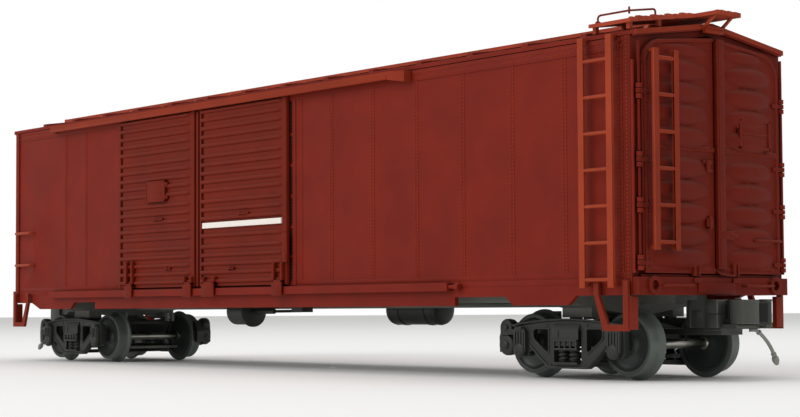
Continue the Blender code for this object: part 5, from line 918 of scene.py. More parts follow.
@dataclass
class EndDoor:
    """One hinged door of the end: side is -1 for the left one with the ladder, 1 for the right one."""

    side: int
    back: float = 164.85
    face: float = 166.05
    half: float = 28.3
    bottom: float = 28.8
    side_top: float = 90.8
    peak: float = 93.0
    radius: float = 7.3
    rim: float = 1.1
    rim_height: float = 0.4
    upper: tuple[float, ...] = (0.587, 0.684, 0.779, 0.876)
    lower: tuple[float, ...] = (0.061, 0.160, 0.258, 0.356, 0.453)
    highest: float = 0.962
    seam: float = 0.540
    keeper_y: float = 8.3
    edge_rivets: float = 1.75
    hatch_y: float = 16.9
    hatch_size: tuple[float, float] = (13.3, 8.3)
    hinges: tuple[float, ...] = (0.042, 0.284, 0.477, 0.766)
    hinge_y: float = 30.1
    hinge_radius: float = 0.9
    hinge_height: float = 4.2

    @property
    def meeting(self) -> float:
        """Y of the edge at the middle of the end."""
        return 0.25 if self.side < 0 else 0.6

    @property
    def covered(self) -> float:
        """How far the astragal covers the door from that edge."""
        return 0.0 if self.side < 0 else 3.2

    def at(self, share: float) -> float:
        """Z at a share of the door's height."""
        return self.bottom + share * (self.side_top - self.bottom)

    def top(self, y: float | np.ndarray) -> np.ndarray:
        """The top edge: it falls from the peak, then turns down in a quarter circle."""
        out = np.abs(y)
        flat = self.half - self.radius
        slope = (self.peak - self.side_top) / flat
        straight = self.peak - slope * out
        turn = self.side_top - self.radius + np.sqrt(np.clip(self.radius ** 2 - (out - flat) ** 2, 0, None))
        return np.where(out <= flat, straight, turn)

    def sheet(self) -> Skin:
        """The pressed sheet: x = face + rim + ribs + seam, on rows that close up under the arched top."""
        side = self.side
        closing = 0.8 + 0.2 * np.sin(np.linspace(0, np.pi / 2, 26))
        t = np.concatenate((np.linspace(0, 0.8, 78, endpoint=False), closing))
        y = self.meeting + (side * self.half - self.meeting) * t
        v = np.linspace(0, 1, 262)
        gy = np.broadcast_to(y, (len(v), len(y)))
        gz = self.bottom + (self.top(gy) - self.bottom) * v[:, None]
        inner = self.meeting + side * (1.4 + self.covered)
        outer = side * (self.half - 2.8)
        ribs = PressedRibs(inner, outer, tuple(map(self.at, self.upper + self.lower)), 2.75, 1.45)
        short = PressedRibs(inner, side * (self.half - 7.0), (self.at(self.highest),), 1.6, 0.9)
        from_side = self.half - np.abs(gy)
        corner = np.hypot(np.abs(gy) - (self.half - self.radius), gz - (self.side_top - self.radius))
        in_corner = (np.abs(gy) > self.half - self.radius) & (gz > self.side_top - self.radius)
        edge = np.where(in_corner, self.radius - corner, np.minimum(from_side, self.top(gy) - gz))
        rim = self.rim_height * smooth_step((self.rim - edge) / 0.25 + 0.5) * smooth_step(edge / 0.12)
        seam = 0.4 * smooth_step((0.65 - np.abs(gz - self.at(self.seam))) / 0.15 + 0.5)
        foot = 0.25 * smooth_step((self.bottom + 1.6 - gz) / 0.2)
        out = self.face + np.maximum.reduce((rim, seam, foot, ribs.rise(gy, gz), short.rise(gy, gz)))
        return slab(grid(out, gy, gz), grid(self.back, gy, gz))

    def hinge_parts(self) -> Skin:
        """The door's middle knuckle of each hinge with its strap, and the bead beside the rim."""
        side, r, pin_y = self.side, self.hinge_radius, self.side * self.hinge_y
        share, parts, rows = self.hinge_height / 3, [], []
        for place in self.hinges:
            low = self.at(place) - self.hinge_height / 2 + share + 0.1
            high = low + share - 0.2
            knuckle = [(0, low), (r - 0.1, low), (r, low + 0.1), (r, high - 0.1), (r - 0.1, high), (0, high)]
            parts.append(lathe(knuckle, UP, (self.face, pin_y, 0), 20))
            rows.append((self.face - 0.4, side * (self.half - 2.6), low + 0.05,
                         self.face + r / 2, pin_y, high - 0.05))
        heights = [self.at(place) for place in self.hinges]
        stops = [z + s * (self.hinge_height / 2 + 0.15) for z in heights for s in (-1, 1)]
        stops = [self.bottom + 0.2, *stops, self.side_top - 1.5]
        for low, high in zip(stops[::2], stops[1::2]):
            if high - low > 0.5:
                parts.append(rod([(self.face, pin_y, z) for z in (low, (low + high) / 2, high)], 0.42, 10))
        bead_x, bead_y = self.face - 0.25, side * (self.half + 0.25)
        heights = (self.bottom + 1.1, 55.0, self.side_top - self.radius)
        bead = rod([(bead_x, bead_y, z) for z in heights], 0.45, 12)
        bolts = [(self.face + 0.45, side * (self.half - 1.9), self.at(place) + d)
                 for place in self.hinges for d in (-0.35, 0.35)]
        return together([blocks(rows, 0.12), bead, domes(np.array(bolts), AHEAD, 0.24, 0.16), *parts])

    def rivets(self) -> Skin:
        """Rivets along the seam, the foot, the outer edge, the corner's curve and the top edge."""
        side, face, inset, pitch = self.side, self.face, self.edge_rivets, 1.0
        inner, outer = self.meeting + side * (1.2 + self.covered), side * (self.half - 2.0)
        edge, straight = side * (self.half - inset), side * (self.half - self.radius)
        seam, foot, head = self.at(self.seam), self.bottom + 0.8, float(self.top(inner)) - inset
        turn = np.radians(np.linspace(0, 90, 13))
        r = self.radius - inset
        bend = grid(face, straight + side * r * np.cos(turn), self.side_top - self.radius + r * np.sin(turn))
        places = (
            row((face + 0.4, inner, seam), (face + 0.4, outer, seam), pitch),
            row((face + 0.22, inner, foot), (face + 0.22, outer, foot), pitch),
            column(face, edge, self.bottom + 2, 83.4, pitch), bend,
            row((face, inner, head), (face, straight, self.side_top - inset), pitch),
        )
        return domes(np.vstack(places), AHEAD, 0.30, 0.24)

    def latches(self) -> list[tuple[float, ...]]:
        """Blocks of the left door's two latches."""
        face, low, high, foot, head = self.face, *map(self.at, (0.440, 0.492, 0.203, 0.242))
        return [(face - 0.4, -5.3, low, face + 0.9, -1.3, low + 0.9),
                (face - 0.4, -5.3, high - 0.9, face + 0.9, -1.3, high),
                (face - 0.4, -4.2, low, face + 1.3, -2.6, high),
                (face - 0.4, -3.8, foot, face + 1.0, -1.4, head),
                (face - 0.2, -3.1, foot - 0.5, face + 1.3, -2.3, head + 0.5)]

    def hatch(self) -> list[tuple[float, ...]]:
        """Blocks of the right door's astragal, of the hatch with its rim and hinges, and of the latch."""
        face, low, (wide, tall) = self.face, self.at(self.seam) + 1.05, self.hatch_size
        left, right = self.hatch_y - wide / 2, self.hatch_y + wide / 2
        high, middle = low + tall, low + tall / 2
        foot, head, rim = self.at(0.150), self.at(0.187), (face + 0.8, face + 1.3)
        rows = [(face - 0.4, 0.6, 30.0, face + 1.2, 3.8, 92.6),
                (face + 0.9, 1.3, 30.4, face + 1.38, 1.75, 92.2),
                (face - 0.4, left, low, face + 1.0, right, high)]
        rows += [(rim[0], y0, z0, rim[1], y1, z1) for y0, z0, y1, z1 in (
            (left, low, right, low + 0.7), (left, high - 0.7, right, high), (left, low, left + 0.7, high),
            (right - 0.7, low, right, high),
        )]
        rows += [(face + 0.8, left, middle - 0.2, face + 1.2, right, middle + 0.2),
                 (face - 0.4, 2.1, foot, face + 1.3, 7.3, head),
                 (face + 1.0, 5.4, foot + 0.5, face + 1.45, 8.6, head - 0.7)]
        return rows + [(face, left - 0.9, low + s, face + 0.9, left + 0.4, low + s + 1.1) for s in (1.2, 5.6)]

    def fittings(self) -> Skin:
        """Latches, the keeper's foot, rivets, and on the right door the astragal, hatch and grab iron."""
        face, keeper, foot, head = self.face, self.side * self.keeper_y, 28.05, self.bottom + 3.1
        rows = [(face - 0.4, keeper - 1.4, foot, face + 0.6, keeper + 1.4, head)]
        rows += [(face + 0.3, keeper + s * 0.95 - 0.35, foot, face + 0.95, keeper + s * 0.95 + 0.35, head)
                 for s in (-1, 1)]
        parts = [self.rivets()]
        if self.side < 0:
            rows += self.latches()
        else:
            rows += self.hatch()
            parts.append(grab_iron(face - 0.4, face + 2.1, 15.45, GRAB_HEIGHTS[0]))
            parts.append(domes(column(face + 1.2, 3.2, 31, 91.5, 1.6), AHEAD, 0.2, 0.13))
            lever = [(face, 0.7, 29.6), (face + 1.35, 0.9, 28.6), (face + 1.35, 6.6, 28.2)]
            parts.append(wire(lever, 0.33, bend=0.5))
        return together([blocks(rows, 0.12), *parts])

    def build(self, shop: Workshop) -> None:
        """Makes the door in one piece for its CAD node."""
        node = "end_door_" + ("left" if self.side < 0 else "right")
        skin = self.sheet() + self.hinge_parts() + self.fittings()
        shop.place(node + "_pressing", skin, Coat.END, Slot.PAINT, node, (node,))
        if self.side < 0:
            shop.place("end_door_rungs", self.rungs(), Coat.FITTING, Slot.FITTINGS, node)

    def rungs(self) -> Skin:
        """Bright parts of the ladder: rungs 9.68 apart, and a strip on each stile's outer edge as a painted
        highlight.
        """
        front, low, high = 169.3, 34.7, 87.5
        # Painted highlight: a thin strip of the brighter coat along each stile's outer edge
        rows = [(front - 0.4, y, low + 0.1, front + 0.06, y + 0.5, high - 0.1) for y in (-27.72, -19.7)]
        rods = [rod([(front - 0.45, y, z) for y in (-27.5, -22.7, -18.0)], 0.54, 12)
                for z in 27.1 + 9.68 * np.arange(1, 7)]
        return together([blocks(rows, 0.1), *rods])


@dataclass
class PlainEnd:
    """The pressed end wall without doors, worked out at +X and turned."""

    inner: float = 163.1
    face: float = 164.5
    half: float = 31.1
    rib_heights: tuple[float, float] = (31.5, 86.0)
    rib_count: int = 11
    flange_back: float = 162.1
    flange_y: float = 31.65
    pitch: float = 1.05

    def wall(self, low: float, top: float) -> Skin:
        """The wall: x = face + ribs, on rows that rise with the roof's slope from low to the ridge's top."""
        y = np.linspace(-self.half, self.half, 150)
        v = np.linspace(0, 1, 250)
        gy = np.broadcast_to(y, (len(v), len(y)))
        gz = low + (top - ROOF_SLOPE * np.abs(gy) - low) * v[:, None]
        ribs = PressedRibs(-27.0, 27.0, tuple(np.linspace(*self.rib_heights, self.rib_count)), 2.0, 1.0)
        return slab(grid(self.face + ribs.rise(gy, gz), gy, gz), grid(self.inner, gy, gz))

    def build(self, shop: Workshop) -> None:
        """Makes the wall with its flanges, rivets and grab irons."""
        low, top = (corner.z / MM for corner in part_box("plain_end"))
        face, pitch = self.face, self.pitch
        rows = [(self.flange_back, s * 31.0, low, face, s * self.flange_y, 91.0) for s in (-1, 1)]
        irons = [grab_iron(face - 0.3, face + 2.1, 15.75, z) for z in GRAB_HEIGHTS]
        rivets = [column(face, s * 29.9, 28.5, 89.5, pitch) for s in (-1, 1)]
        rivets += [row((face, 0, 93.4), (face, s * 29, 93.4 - ROOF_SLOPE * 29), pitch) for s in (-1, 1)]
        rivets.append(row((face, -29.5, 28.6), (face, 29.5, 28.6), pitch))
        skin = together([self.wall(low, top), blocks(rows, 0.1), *irons,
                         domes(np.vstack(rivets), AHEAD, 0.25, 0.16)])
        shop.place("plain_end_pressing", skin.turned(), Coat.BODY, Slot.PAINT, "car_body", ("plain_end",))


# Sides and roof


@dataclass
class BodyRivets:
    """Rivet rows and thin laps on the two sides, the frame of the door end and the roof."""

    wall: float = 31.1
    strip: float = 0.25
    seam: float = 0.07
    pitch: float = 1.05
    low: float = 29.4
    high: float = 87.2
    seams: tuple[float, ...] = (38.8, 59.1, 79.4, 99.7, 120.0, 140.3, 160.6, -110.8, -125.8)
    posts: tuple[float, ...] = (-85.85, 19.25)
    eave_y: float = 31.4
    corner: tuple[float, float] = (163.3, 31.65)
    frame_x: float = 164.5

    def side(self) -> Skin:
        """Rivets of the near side: two rows up each seam, one up each post and corner, two along the eave."""
        out, post = -self.wall - self.seam, -self.wall - self.strip
        doubled = [x + s for x in self.seams for s in (-0.6, 0.6)]
        places = [column(x, out, self.low, self.high, self.pitch) for x in doubled]
        places += [column(x, post, self.low, self.high, self.pitch) for x in self.posts]
        eave, (x, y) = -self.eave_y, self.corner
        for start, end in ((78.6, 161.4), (-161.4, -132.6)):
            for z, inset in ((88.5, 0), (90.0, self.pitch / 2)):
                places.append(row((start + inset, eave, z), (end - inset, eave, z), self.pitch))
        places += [column(s * x, -y, 25.5, 90.4, self.pitch) for s in (1, -1)]
        return domes(np.vstack(places), -ACROSS, 0.32, 0.22)

    def pressed(self, spots: np.ndarray) -> np.ndarray:
        """Lowers the seam strips of a side panel, which stand as thin as a real lap.

        Args:
            spots: The corners of the panel. Seen from outside, x runs the other way on the far side.

        Returns:
            The same corners, those on a strip's face with |y| = wall + seam.
        """
        side = np.sign(spots[:, 1])
        along = -side * spots[:, 0]
        close = np.min(np.abs(along[:, None] - np.array(self.seams)), axis=1) < 1.0
        face = close & (np.abs(np.abs(spots[:, 1]) - self.wall - self.strip) < 0.02)
        lowered = spots.copy()
        lowered[face, 1] = side[face] * (self.wall + self.seam)
        return lowered

    def grab_irons(self) -> Skin:
        """The two grab irons of the near side, as thick as their paint makes them."""
        path = [(-161.75, -30.8), (-161.75, -33.2), (-150.25, -33.2), (-150.25, -30.8)]
        return together([wire([(x, y, z) for x, y in path], 0.55) for z in GRAB_HEIGHTS])

    def fold(self) -> Skin:
        """The folded lower half of the upper track's face, a little proud of the upper half."""
        return blocks([(-132.1, -34.56, 88.85, 69.6, -34.3, 89.95)], 0.09)

    def laps(self) -> Skin:
        """Thin strips along the foot of the near side, where its plates lap the sill."""
        out, inn = -self.wall - 0.13, -self.wall + 0.3
        rows = [(21.0, out, 27.75, 161.9, inn, 29.0), (-161.9, out, 27.75, -88.0, inn, 29.0),
                (100.0, out, 25.9, 161.9, inn, 27.35), (-161.9, out, 25.9, -136.2, inn, 27.35),
                (23.35, out, 29.2, 24.0, inn, 87.4)]
        return blocks(rows, 0.06)

    def gap(self) -> Skin:
        """Dark strips of painted shade in the joint beside the main door's closing edge, bridged by its lock
        pieces.
        """
        ends = [29.0, 36.4, 37.4, 46.0, 47.0, 56.0, 57.0, 66.0, 67.0, 76.0, 77.0, 87.2]
        rows = [(17.75, -31.45, low, 18.95, -31.0, high) for low, high in zip(ends[::2], ends[1::2])]
        return blocks(rows, 0.05)

    def frame(self) -> Skin:
        """Rivets of the frame round the end doors, and the threshold under them."""
        places = [column(self.frame_x, s * 29.6, 86.5, 89.2, 1.0) for s in (-1, 1)]
        threshold = blocks([(164.4, -29.0, 27.5, 165.5, 29.0, 28.5)], 0.12)
        return together([threshold, domes(np.vstack(places), AHEAD, 0.22, 0.15)])

    def roof_flange(self) -> Skin:
        """The turned-down flange along the roof's end, with its top just under the sheet and 1.3 deep."""
        y = np.array([-self.eave_y, -0.01, 0.01, self.eave_y])
        top = roof_z(y) - 0.05
        return slab(*(np.stack([grid(x, y, z) for z in (top - 1.3, top)]) for x in (166.35, 165.7)))

    def roof(self) -> Skin:
        """Two rows of rivets beside each rib of the roof, on one slope; the other slope is turned."""
        fall = math.atan(ROOF_SLOPE)
        out = np.array([0, -math.sin(fall), math.cos(fall)])
        places = [row((x + s, -30.6, roof_z(30.6)), (x + s, -6.6, roof_z(6.6)), 1.35)
                  for x in ROOF_RIBS for s in (-1.75, 1.75)]
        return domes(np.vstack(places), out, 0.25, 0.14)

    def build(self, shop: Workshop) -> None:
        """Makes the rivets and laps of both sides and both slopes, and the flanges of the roof's ends."""
        for name, skin, coat in (
            # Painted highlight: the side rivets take the lighter rail coat so that they show as lit dots
            ("side_rivets", self.side(), Coat.RAIL), ("side_laps", self.laps(), Coat.SIDE),
            ("roof_rivets", self.roof(), Coat.BODY), ("side_grab_irons", self.grab_irons(), Coat.FITTING),
        ):
            shop.pair(name, skin, coat, Slot.PAINT, SIDES)
        for side, flip in SIDES.items():
            # Painted shade: dark strips in the joint beside the main door
            shop.place("door_joint_" + side, self.gap().turned(flip), Coat.GAP_SHADE, Slot.PAINT, "car_body")
            shop.moulded("side_panel_" + side, Coat.SIDE, 0.06, self.pressed)
        shop.pair("track_fold", self.fold(), Coat.RAIL, Slot.FITTINGS, SIDES)
        saddle = blocks([(165.9, -3.8, 94.0, 167.4, 3.8, 95.85), (165.8, -3.8, 95.2, 167.9, 3.8, 95.9)], 0.2)
        shop.pair("roof_flange", self.roof_flange() + saddle, Coat.RAIL, Slot.PAINT, ENDS)
        shop.place("frame_rivets", self.frame(), Coat.END, Slot.PAINT, "car_body")


@dataclass
class RoofWalk:
    """Bolt heads on the planks, and the bent handrails with their eyebolts."""

    top: float = 99.4
    board: float = 2.0
    rail: float = 0.28

    def bolts(self) -> Skin:
        """Two bolt heads on each plank over each saddle and at both ends."""
        x = np.concatenate((ROOF_RIBS, [-170.9, 170.9]))
        y = np.array([-4.3, -2.5, -0.9, 0.9, 2.5, 4.3])
        return domes(grid(*np.meshgrid(x, y), self.top), UP, 0.26, 0.14)

    def plank_ends(self) -> Skin:
        """The sawn ends of the planks: of the near corner board, and of the walk at the door end."""
        y = np.linspace(-33.1, -6.7, 10)
        middle = (y[1:] + y[:-1]) / 2
        top = roof_z(middle) + 3.05
        lift = 0.12 + 0.22 * (np.arange(9) % 2)
        rows = [(165.3 - 0.4 * (n % 2), m - 1.28, t - 0.95, 166.42 - 0.1 * (n % 3), m + 1.28, t + up)
                for n, (m, t, up) in enumerate(zip(middle, top, lift))]
        rows += [(171.0, y0 + 0.12, 98.45, 172.4, y0 + 1.33, 99.55 + 0.1 * (n % 2))
                 for n, y0 in enumerate(np.linspace(-5.0, 3.6, 7))]
        return blocks(rows, 0.16)

    def handrail(self) -> Skin:
        """The near handrail at the door end, bent round the corner board, with an eye at each foot."""
        left, right, front = 152.7, 163.8, -30.8
        back = -6.6 + (-33.2 + 6.6) * 0.52
        low, high = (roof_z(y) + self.board for y in (front, back))
        line = [(left, front, low + 1.15), (left, front, low + 3.1), (right, front, low + 3.1),
                (right, back, high + 3.1), (right, back, high + 1.15)]
        parts = [wire(line, self.rail, bend=1.1)]
        foot = [(0, 0.0), (0.75, 0.0), (0.75, 0.25), (0.5, 0.45), (0, 0.5)]
        parts += [lathe(foot, UP, (x, y, z + 1.1), 16)
                  for x, y, z in ((left, front, low), (right, back, high))]
        turn = full_turn(16)
        eye = grid(right - 0.5 * np.cos(turn), front + 0.57 * np.cos(turn), low + 3.2 + 0.75 * np.sin(turn))
        return together([*parts, sweep(eye, circle(self.rail, 8), closed=True)])

    def build(self, shop: Workshop) -> None:
        """Makes the bolts, the plank ends and both handrails."""
        shop.place("walk_bolts", self.bolts(), Coat.FITTING, Slot.FITTINGS, "car_body")
        shop.pair("plank_ends", self.plank_ends(), Coat.CROSS_PLANKS, Slot.FITTINGS, ENDS)
        rail = self.handrail()
        for side, flip in SIDES.items():
            node = "corner_handrail_" + side
            shop.place(node + "_wire", rail.turned(flip), Coat.BODY, Slot.FITTINGS, "car_body", (node,))


# Trucks


@dataclass
class Wheelset:
    """Two wheels on an axle, turned on a lathe."""

    back: float = 13.75
    width: float = 5.1
    tread: float = 8.75

    def profile(self) -> list[tuple[float, float]]:
        """Radius and distance from the middle of one end of the wheelset, from the axle's tip inwards."""
        face = self.back + self.width
        rim = self.tread - 1.4
        outer = [
            (0, 22.2), (0.8, 22.2), (0.9, 22.1), (0.9, face), (2.35, face), (2.55, face - 0.12),
            (2.65, face - 0.45), (2.9, face - 0.85), (3.4, face - 1.08), (4.6, face - 1.16),
            (6.1, face - 1.05), (6.8, face - 0.75),
            (7.15, face - 0.3), (7.3, face - 0.06), (7.45, face), (8.2, face), (8.38, face - 0.1),
            (8.5, face - 0.35), (8.62, self.back + 3.2), (8.72, self.back + 1.9), (8.85, self.back + 1.35),
            (9.2, self.back + 1.0), (9.5, self.back + 0.85), (9.7, self.back + 0.6), (9.75, self.back + 0.35),
            (9.62, self.back + 0.1), (9.4, self.back),
        ]
        inner = [(rim, self.back), (rim - 0.4, self.back + 0.5), (3.6, self.back + 0.7),
                 (2.6, self.back + 0.1), (2.2, self.back), (1.3, self.back), (1.3, 0.0)]
        return outer + inner

    def sleeve(self, x: float) -> Skin:
        """The bright axle between the two wheels."""
        end, r = self.back - 0.1, 1.38
        return lathe([(0, end), (r + 0.5, end), (r + 0.5, end - 0.5), (r, end - 0.8), (r, 0.8 - end),
                      (r + 0.5, 0.5 - end), (r + 0.5, -end), (0, -end)], ACROSS, (x, 0, AXLE_Z), 28)

    def skin(self, x: float) -> Skin:
        """The wheelset with its axle at X."""
        half = self.profile()
        profile = half + [(r, -h) for r, h in reversed(half[:-1])]
        return lathe(profile, ACROSS, (x, 0, AXLE_Z), 72)


@dataclass
class Truck:
    """What is added to the door-end truck's castings; the plain-end truck's are turned."""

    x: float = TRUCK_X
    half_base: float = HALF_BASE
    outer: float = 23.4
    lid_proud: float = 1.2
    shoe_x: float = 25.6
    shoe_y: float = 18.95
    spring_y: float = 22.35
    spring_radius: float = 1.42
    spring_wire: float = 0.34
    spring_foot: float = 4.85
    spring_height: float = 4.0
    spring_turns: float = 3.5

    def springs(self) -> Skin:
        """Two coil springs in the window of the near sideframe: a helix of three and a half turns each."""
        parts = []
        turn = np.linspace(0, 2 * np.pi * self.spring_turns, 78)
        for s in (-2.0, 2.0):
            across, along = self.spring_radius * np.cos(turn), self.spring_radius * np.sin(turn)
            path = grid(self.x + s + across, along - self.spring_y,
                        self.spring_foot + self.spring_height * turn / turn[-1])
            parts.append(sweep(path, circle(self.spring_wire, 8)))
        return together(parts)

    def frame_trim(self) -> Skin:
        """Flanges along the near sideframe's top and diagonals, ribs on its lids, slots and bolts."""
        out = -self.outer
        span = np.linspace(-1, 1, 25)
        reach = self.half_base + 3.3
        rise = 14.9 + 1.7 * (1 - span ** 2) - 0.15
        arch = grid(self.x + reach * span, out - 0.3, rise)
        section = np.array([(0.5, 0.0), (0.34, 0.26), (-0.34, 0.26),
                            (-0.5, 0.0), (-0.34, -0.26), (0.34, -0.26)])
        parts = [sweep(arch, section)]
        foot = ((14.3, 9.2), (8.8, 4.6), (7.2, 3.4), (0, 3.35))
        light = ((7.1, 14.1), (7.1, 6.7), (13.3, 11.2), (13.3, 14.1), (7.1, 14.1), (7.1, 13.0))
        boss = [(0, 0.55), (1.5, 0.55), (1.95, 0.3), (2.1, 0), (2.1, -0.9), (0, -0.9)]
        rows, bolts = [], []
        for s in (-1, 1):
            for line, y, radius, bend in ((foot, out - 0.05, 0.36, 1.2), (light, out + 0.02, 0.28, 1.3)):
                parts.append(wire([(self.x + s * x, y, z) for x, z in line], radius, bend, 8))
            lid, face = self.x + s * self.half_base, out - self.lid_proud
            rows += [(lid + d - 0.26, face - 0.28, 8.0, lid + d + 0.26, face + 0.3, 13.3)
                     for d in (-1.6, -0.55, 0.55, 1.6)]
            rows += [(lid - 2.15, face - 0.14, 12.9, lid + 2.15, face + 0.4, 13.7),
                     (lid - 1.2, face - 0.4, 13.4, lid + 1.2, face + 0.6, 14.5)]
            parts.append(lathe(boss, -ACROSS, (lid, face, 7.9), 28))
            bolts += [(lid + d, face - 0.5, 7.3) for d in (-0.7, 0.7)]
        low, high = out - 0.95, out + 0.3
        rows += moved([(-4.6, low - 0.5, 10.5, 4.6, high, 11.1), (-4.6, low - 0.35, 8.1, 4.6, high, 8.7),
                       (-4.6, low - 0.3, 4.2, 4.6, high, 4.75), (-2.9, low - 0.25, 11.6, -2.55, high, 13.6),
                       *((d - 0.3, low - 0.3, 8.4, d + 0.3, high, 10.8) for d in (-4.2, -2.1, 0, 2.1, 4.2)),
                       (-4.2, low - 0.1, 9.45, 4.2, high, 9.7)], self.x)
        bolts += [(self.x + s * d, out, z) for d, z in ((7.5, 15.0), (6.4, 4.0)) for s in (-1, 1)]
        heads = domes(np.array(bolts), -ACROSS, 0.42, 0.3)
        return together([blocks(rows, 0.13), heads, *parts, self.web(low)])

    def web(self, low: float) -> Skin:
        """The sloping wall over the spring window, bent once and 0.35 thick, with its foot at Y low."""
        top = -self.outer + 0.1
        ring = np.array([(-4.9, top, 15.7), (4.9, top, 15.7), (4.9, low, 13.6), (-4.9, low, 13.6),
                         (-4.9, low, 11.0), (4.9, low, 11.0)]) + (self.x, 0, 0)
        order = np.array([[0, 1, 2, 3], [3, 2, 5, 4]])
        walls = np.array([[0, 3, 9, 6], [3, 4, 10, 9], [1, 7, 8, 2],
                          [2, 8, 11, 5], [4, 5, 11, 10], [0, 6, 7, 1]])
        return Skin(np.vstack((ring, ring + (0, 0.35, 0))), [order, order[:, ::-1] + 6, walls])

    def rigging(self) -> Skin:
        """Levers, rods and the live lever's strap between the wheels."""
        lever = ((6.6, 0, 6.0), (7.0, 0.25, 11.0), (7.4, 0.5, 16.0))
        parts = [rod([(self.x + s * x, s * y, z) for x, y, z in lever], 0.45, 8) for s in (-1, 1)]
        parts.append(rod([(self.x + x, 0, 7.4) for x in (-6.8, 0, 6.8)], 0.4, 8))
        rows = [(self.x + s * 2.6 - 0.7, t * 17.0 - 2.0, 16.6, self.x + s * 2.6 + 0.7, t * 17.0 + 2.0, 17.7)
                for s in (-1, 1) for t in (-1, 1)]
        middle = self.x - self.half_base
        rows.append((middle - 0.5, -13.2, 14.6, middle + 0.5, 13.25, 15.6))
        return together([*parts, blocks(rows, 0.15)])

    def shoes(self, places: Sequence[tuple[float, int]]) -> Skin:
        """The rounded backs of a truck's brake shoes: two stacked lumps outside a wheel at each place.

        Args:
            places: X of each shoe, and the side it is on, -1 or 1.
        """
        lump = [(0, 0), (2.0, 0), (2.6, 0.35), (2.75, 1.1), (2.75, 2.6), (2.5, 3.1), (1.9, 3.3), (0, 3.3)]
        knob = [(0, 3.2), (1.1, 3.2), (1.1, 3.7), (0.8, 3.9), (0, 3.9)]
        return together(
            lathe([(r * scale, h) for r, h in profile], ACROSS * s, (x, s * self.shoe_y, z), 28)
            for x, s in places for z, scale in ((9.2, 1.08), (14.2, 0.92)) for profile in (lump, knob)
        )

    def fins(self) -> Skin:
        """Pale fins over the inner axle and the brake beam below it."""
        middle = self.x - self.half_base
        rows = [(middle - 1.0, y, 15.5, middle + 1.0, y + 0.95, 18.9) for y in (-11.4, -9.0, 10.2, 12.3)]
        return blocks(rows, 0.2) + rod([(middle, y, 5.5) for y in (-13.0, 0.0, 13.2)], 0.55, 10)

    def coupler_trim(self) -> Skin:
        """Straps, bolts and the lift pin's head on the coupler and its draft box."""
        x = self.x
        rows = moved([(28.6, -6.4, 14.2, 29.6, 6.4, 21.75), (34.4, -6.5, 14.2, 38.6, -5.9, 17.8),
                      (34.4, -6.5, 18.05, 38.6, -5.9, 21.75), (37.9, -6.4, 14.2, 38.65, 6.4, 17.8),
                      (37.9, -6.4, 18.05, 38.65, 6.4, 21.75), (30.4, -6.35, 17.0, 33.6, 6.35, 19.0),
                      (38.6, -1.9, 20.9, 41.4, 1.6, 21.75), (38.9, 2.2, 20.6, 45.6, 2.9, 21.7),
                      (44.2, 5.6, 20.9, 46.2, 7.3, 21.75), (44.2, 5.6, 14.5, 46.2, 7.3, 15.4)], x)
        pin = lathe([(0, 0), (1.0, 0), (1.0, 0.4), (0.7, 0.65), (0, 0.7)], UP, (x + 42.6, -2.6, 21.5), 20)
        places = [(x + 33.1, -4.4, 21.6), (x + 33.1, 4.4, 21.6), (x + 30, 0, 21.6), (x + 36, 0, 21.6)]
        return together([blocks(rows, 0.14), pin, domes(np.array(places), UP, 0.55, 0.35)])

    def coupler_faces(self) -> Skin:
        """Faces of the coupler painted light as a painted highlight: both halves of the box's front, the
        arm's edge, the guard's flanges.
        """
        return blocks(moved([
            (38.3, -6.35, 14.3, 38.78, -3.1, 17.8), (38.3, -6.35, 18.05, 38.78, -3.1, 21.6),
            (32.6, -4.5, 13.45, 38.4, -4.2, 13.85), (43.7, -4.9, 14.25, 44.12, 4.9, 15.05),
            (43.6, 4.95, 21.2, 46.3, 7.35, 21.8), (43.6, 4.95, 14.2, 46.3, 7.35, 14.9),
        ], self.x), 0.12)

    def coupler_hollows(self) -> Skin:
        """Recesses painted dark as painted shade: the mouth's slanted wall and the slot beside the box."""
        line = np.array([(43.9, 2.75), (46.15, 5.5)]) + (self.x, 0)
        lift = np.array([0.777, -0.631])
        grids = [np.stack([grid(*(line + lift * out).T, z) for z in (15.7, 20.7)]) for out in (0.1, -0.3)]
        return slab(*grids) + blocks(moved([(38.5, -3.05, 16.6, 38.72, -1.5, 20.5)], self.x), 0.05)

    def hose(self) -> Skin:
        """The air hose: a curve down and outwards, a clamp, and the glad hand's lobes at its end."""
        x = self.x + 42.0
        line = [(x, 4.2, 13.9), (x, 6.2, 13.3), (x + 1.0, 10.4, 10.4), (x, 13.8, 5.9)]
        start, low, bend, end = np.array(line)
        t = np.linspace(0, 1, 22)[:, None]
        path = np.vstack((start, low * (1 - t) ** 2 + bend * 2 * t * (1 - t) + end * t ** 2))
        tip = path[-1] - path[-2]
        tip /= np.linalg.norm(tip)
        middle = end + tip * np.array([-0.5, 0.3, 1.2, 2.2])[:, None]
        hand = rod(middle, 1.0, 14)
        middle, scale = np.repeat(middle, 14, axis=0), np.repeat([0.72, 1.0, 0.92, 0.55], 14)[:, None]
        hand.points = middle + (hand.points - middle) * scale
        clamps = [rod(path[k:k + 2], 0.72, 14) for k in (2, 19)]
        root = lathe([(0, -0.9), (0.95, -0.9), (0.95, -0.2), (0.7, 0), (0, 0)], UP, (x, 4.2, 14.0), 16)
        return together([rod(path, 0.5, 12), hand, root, *clamps])

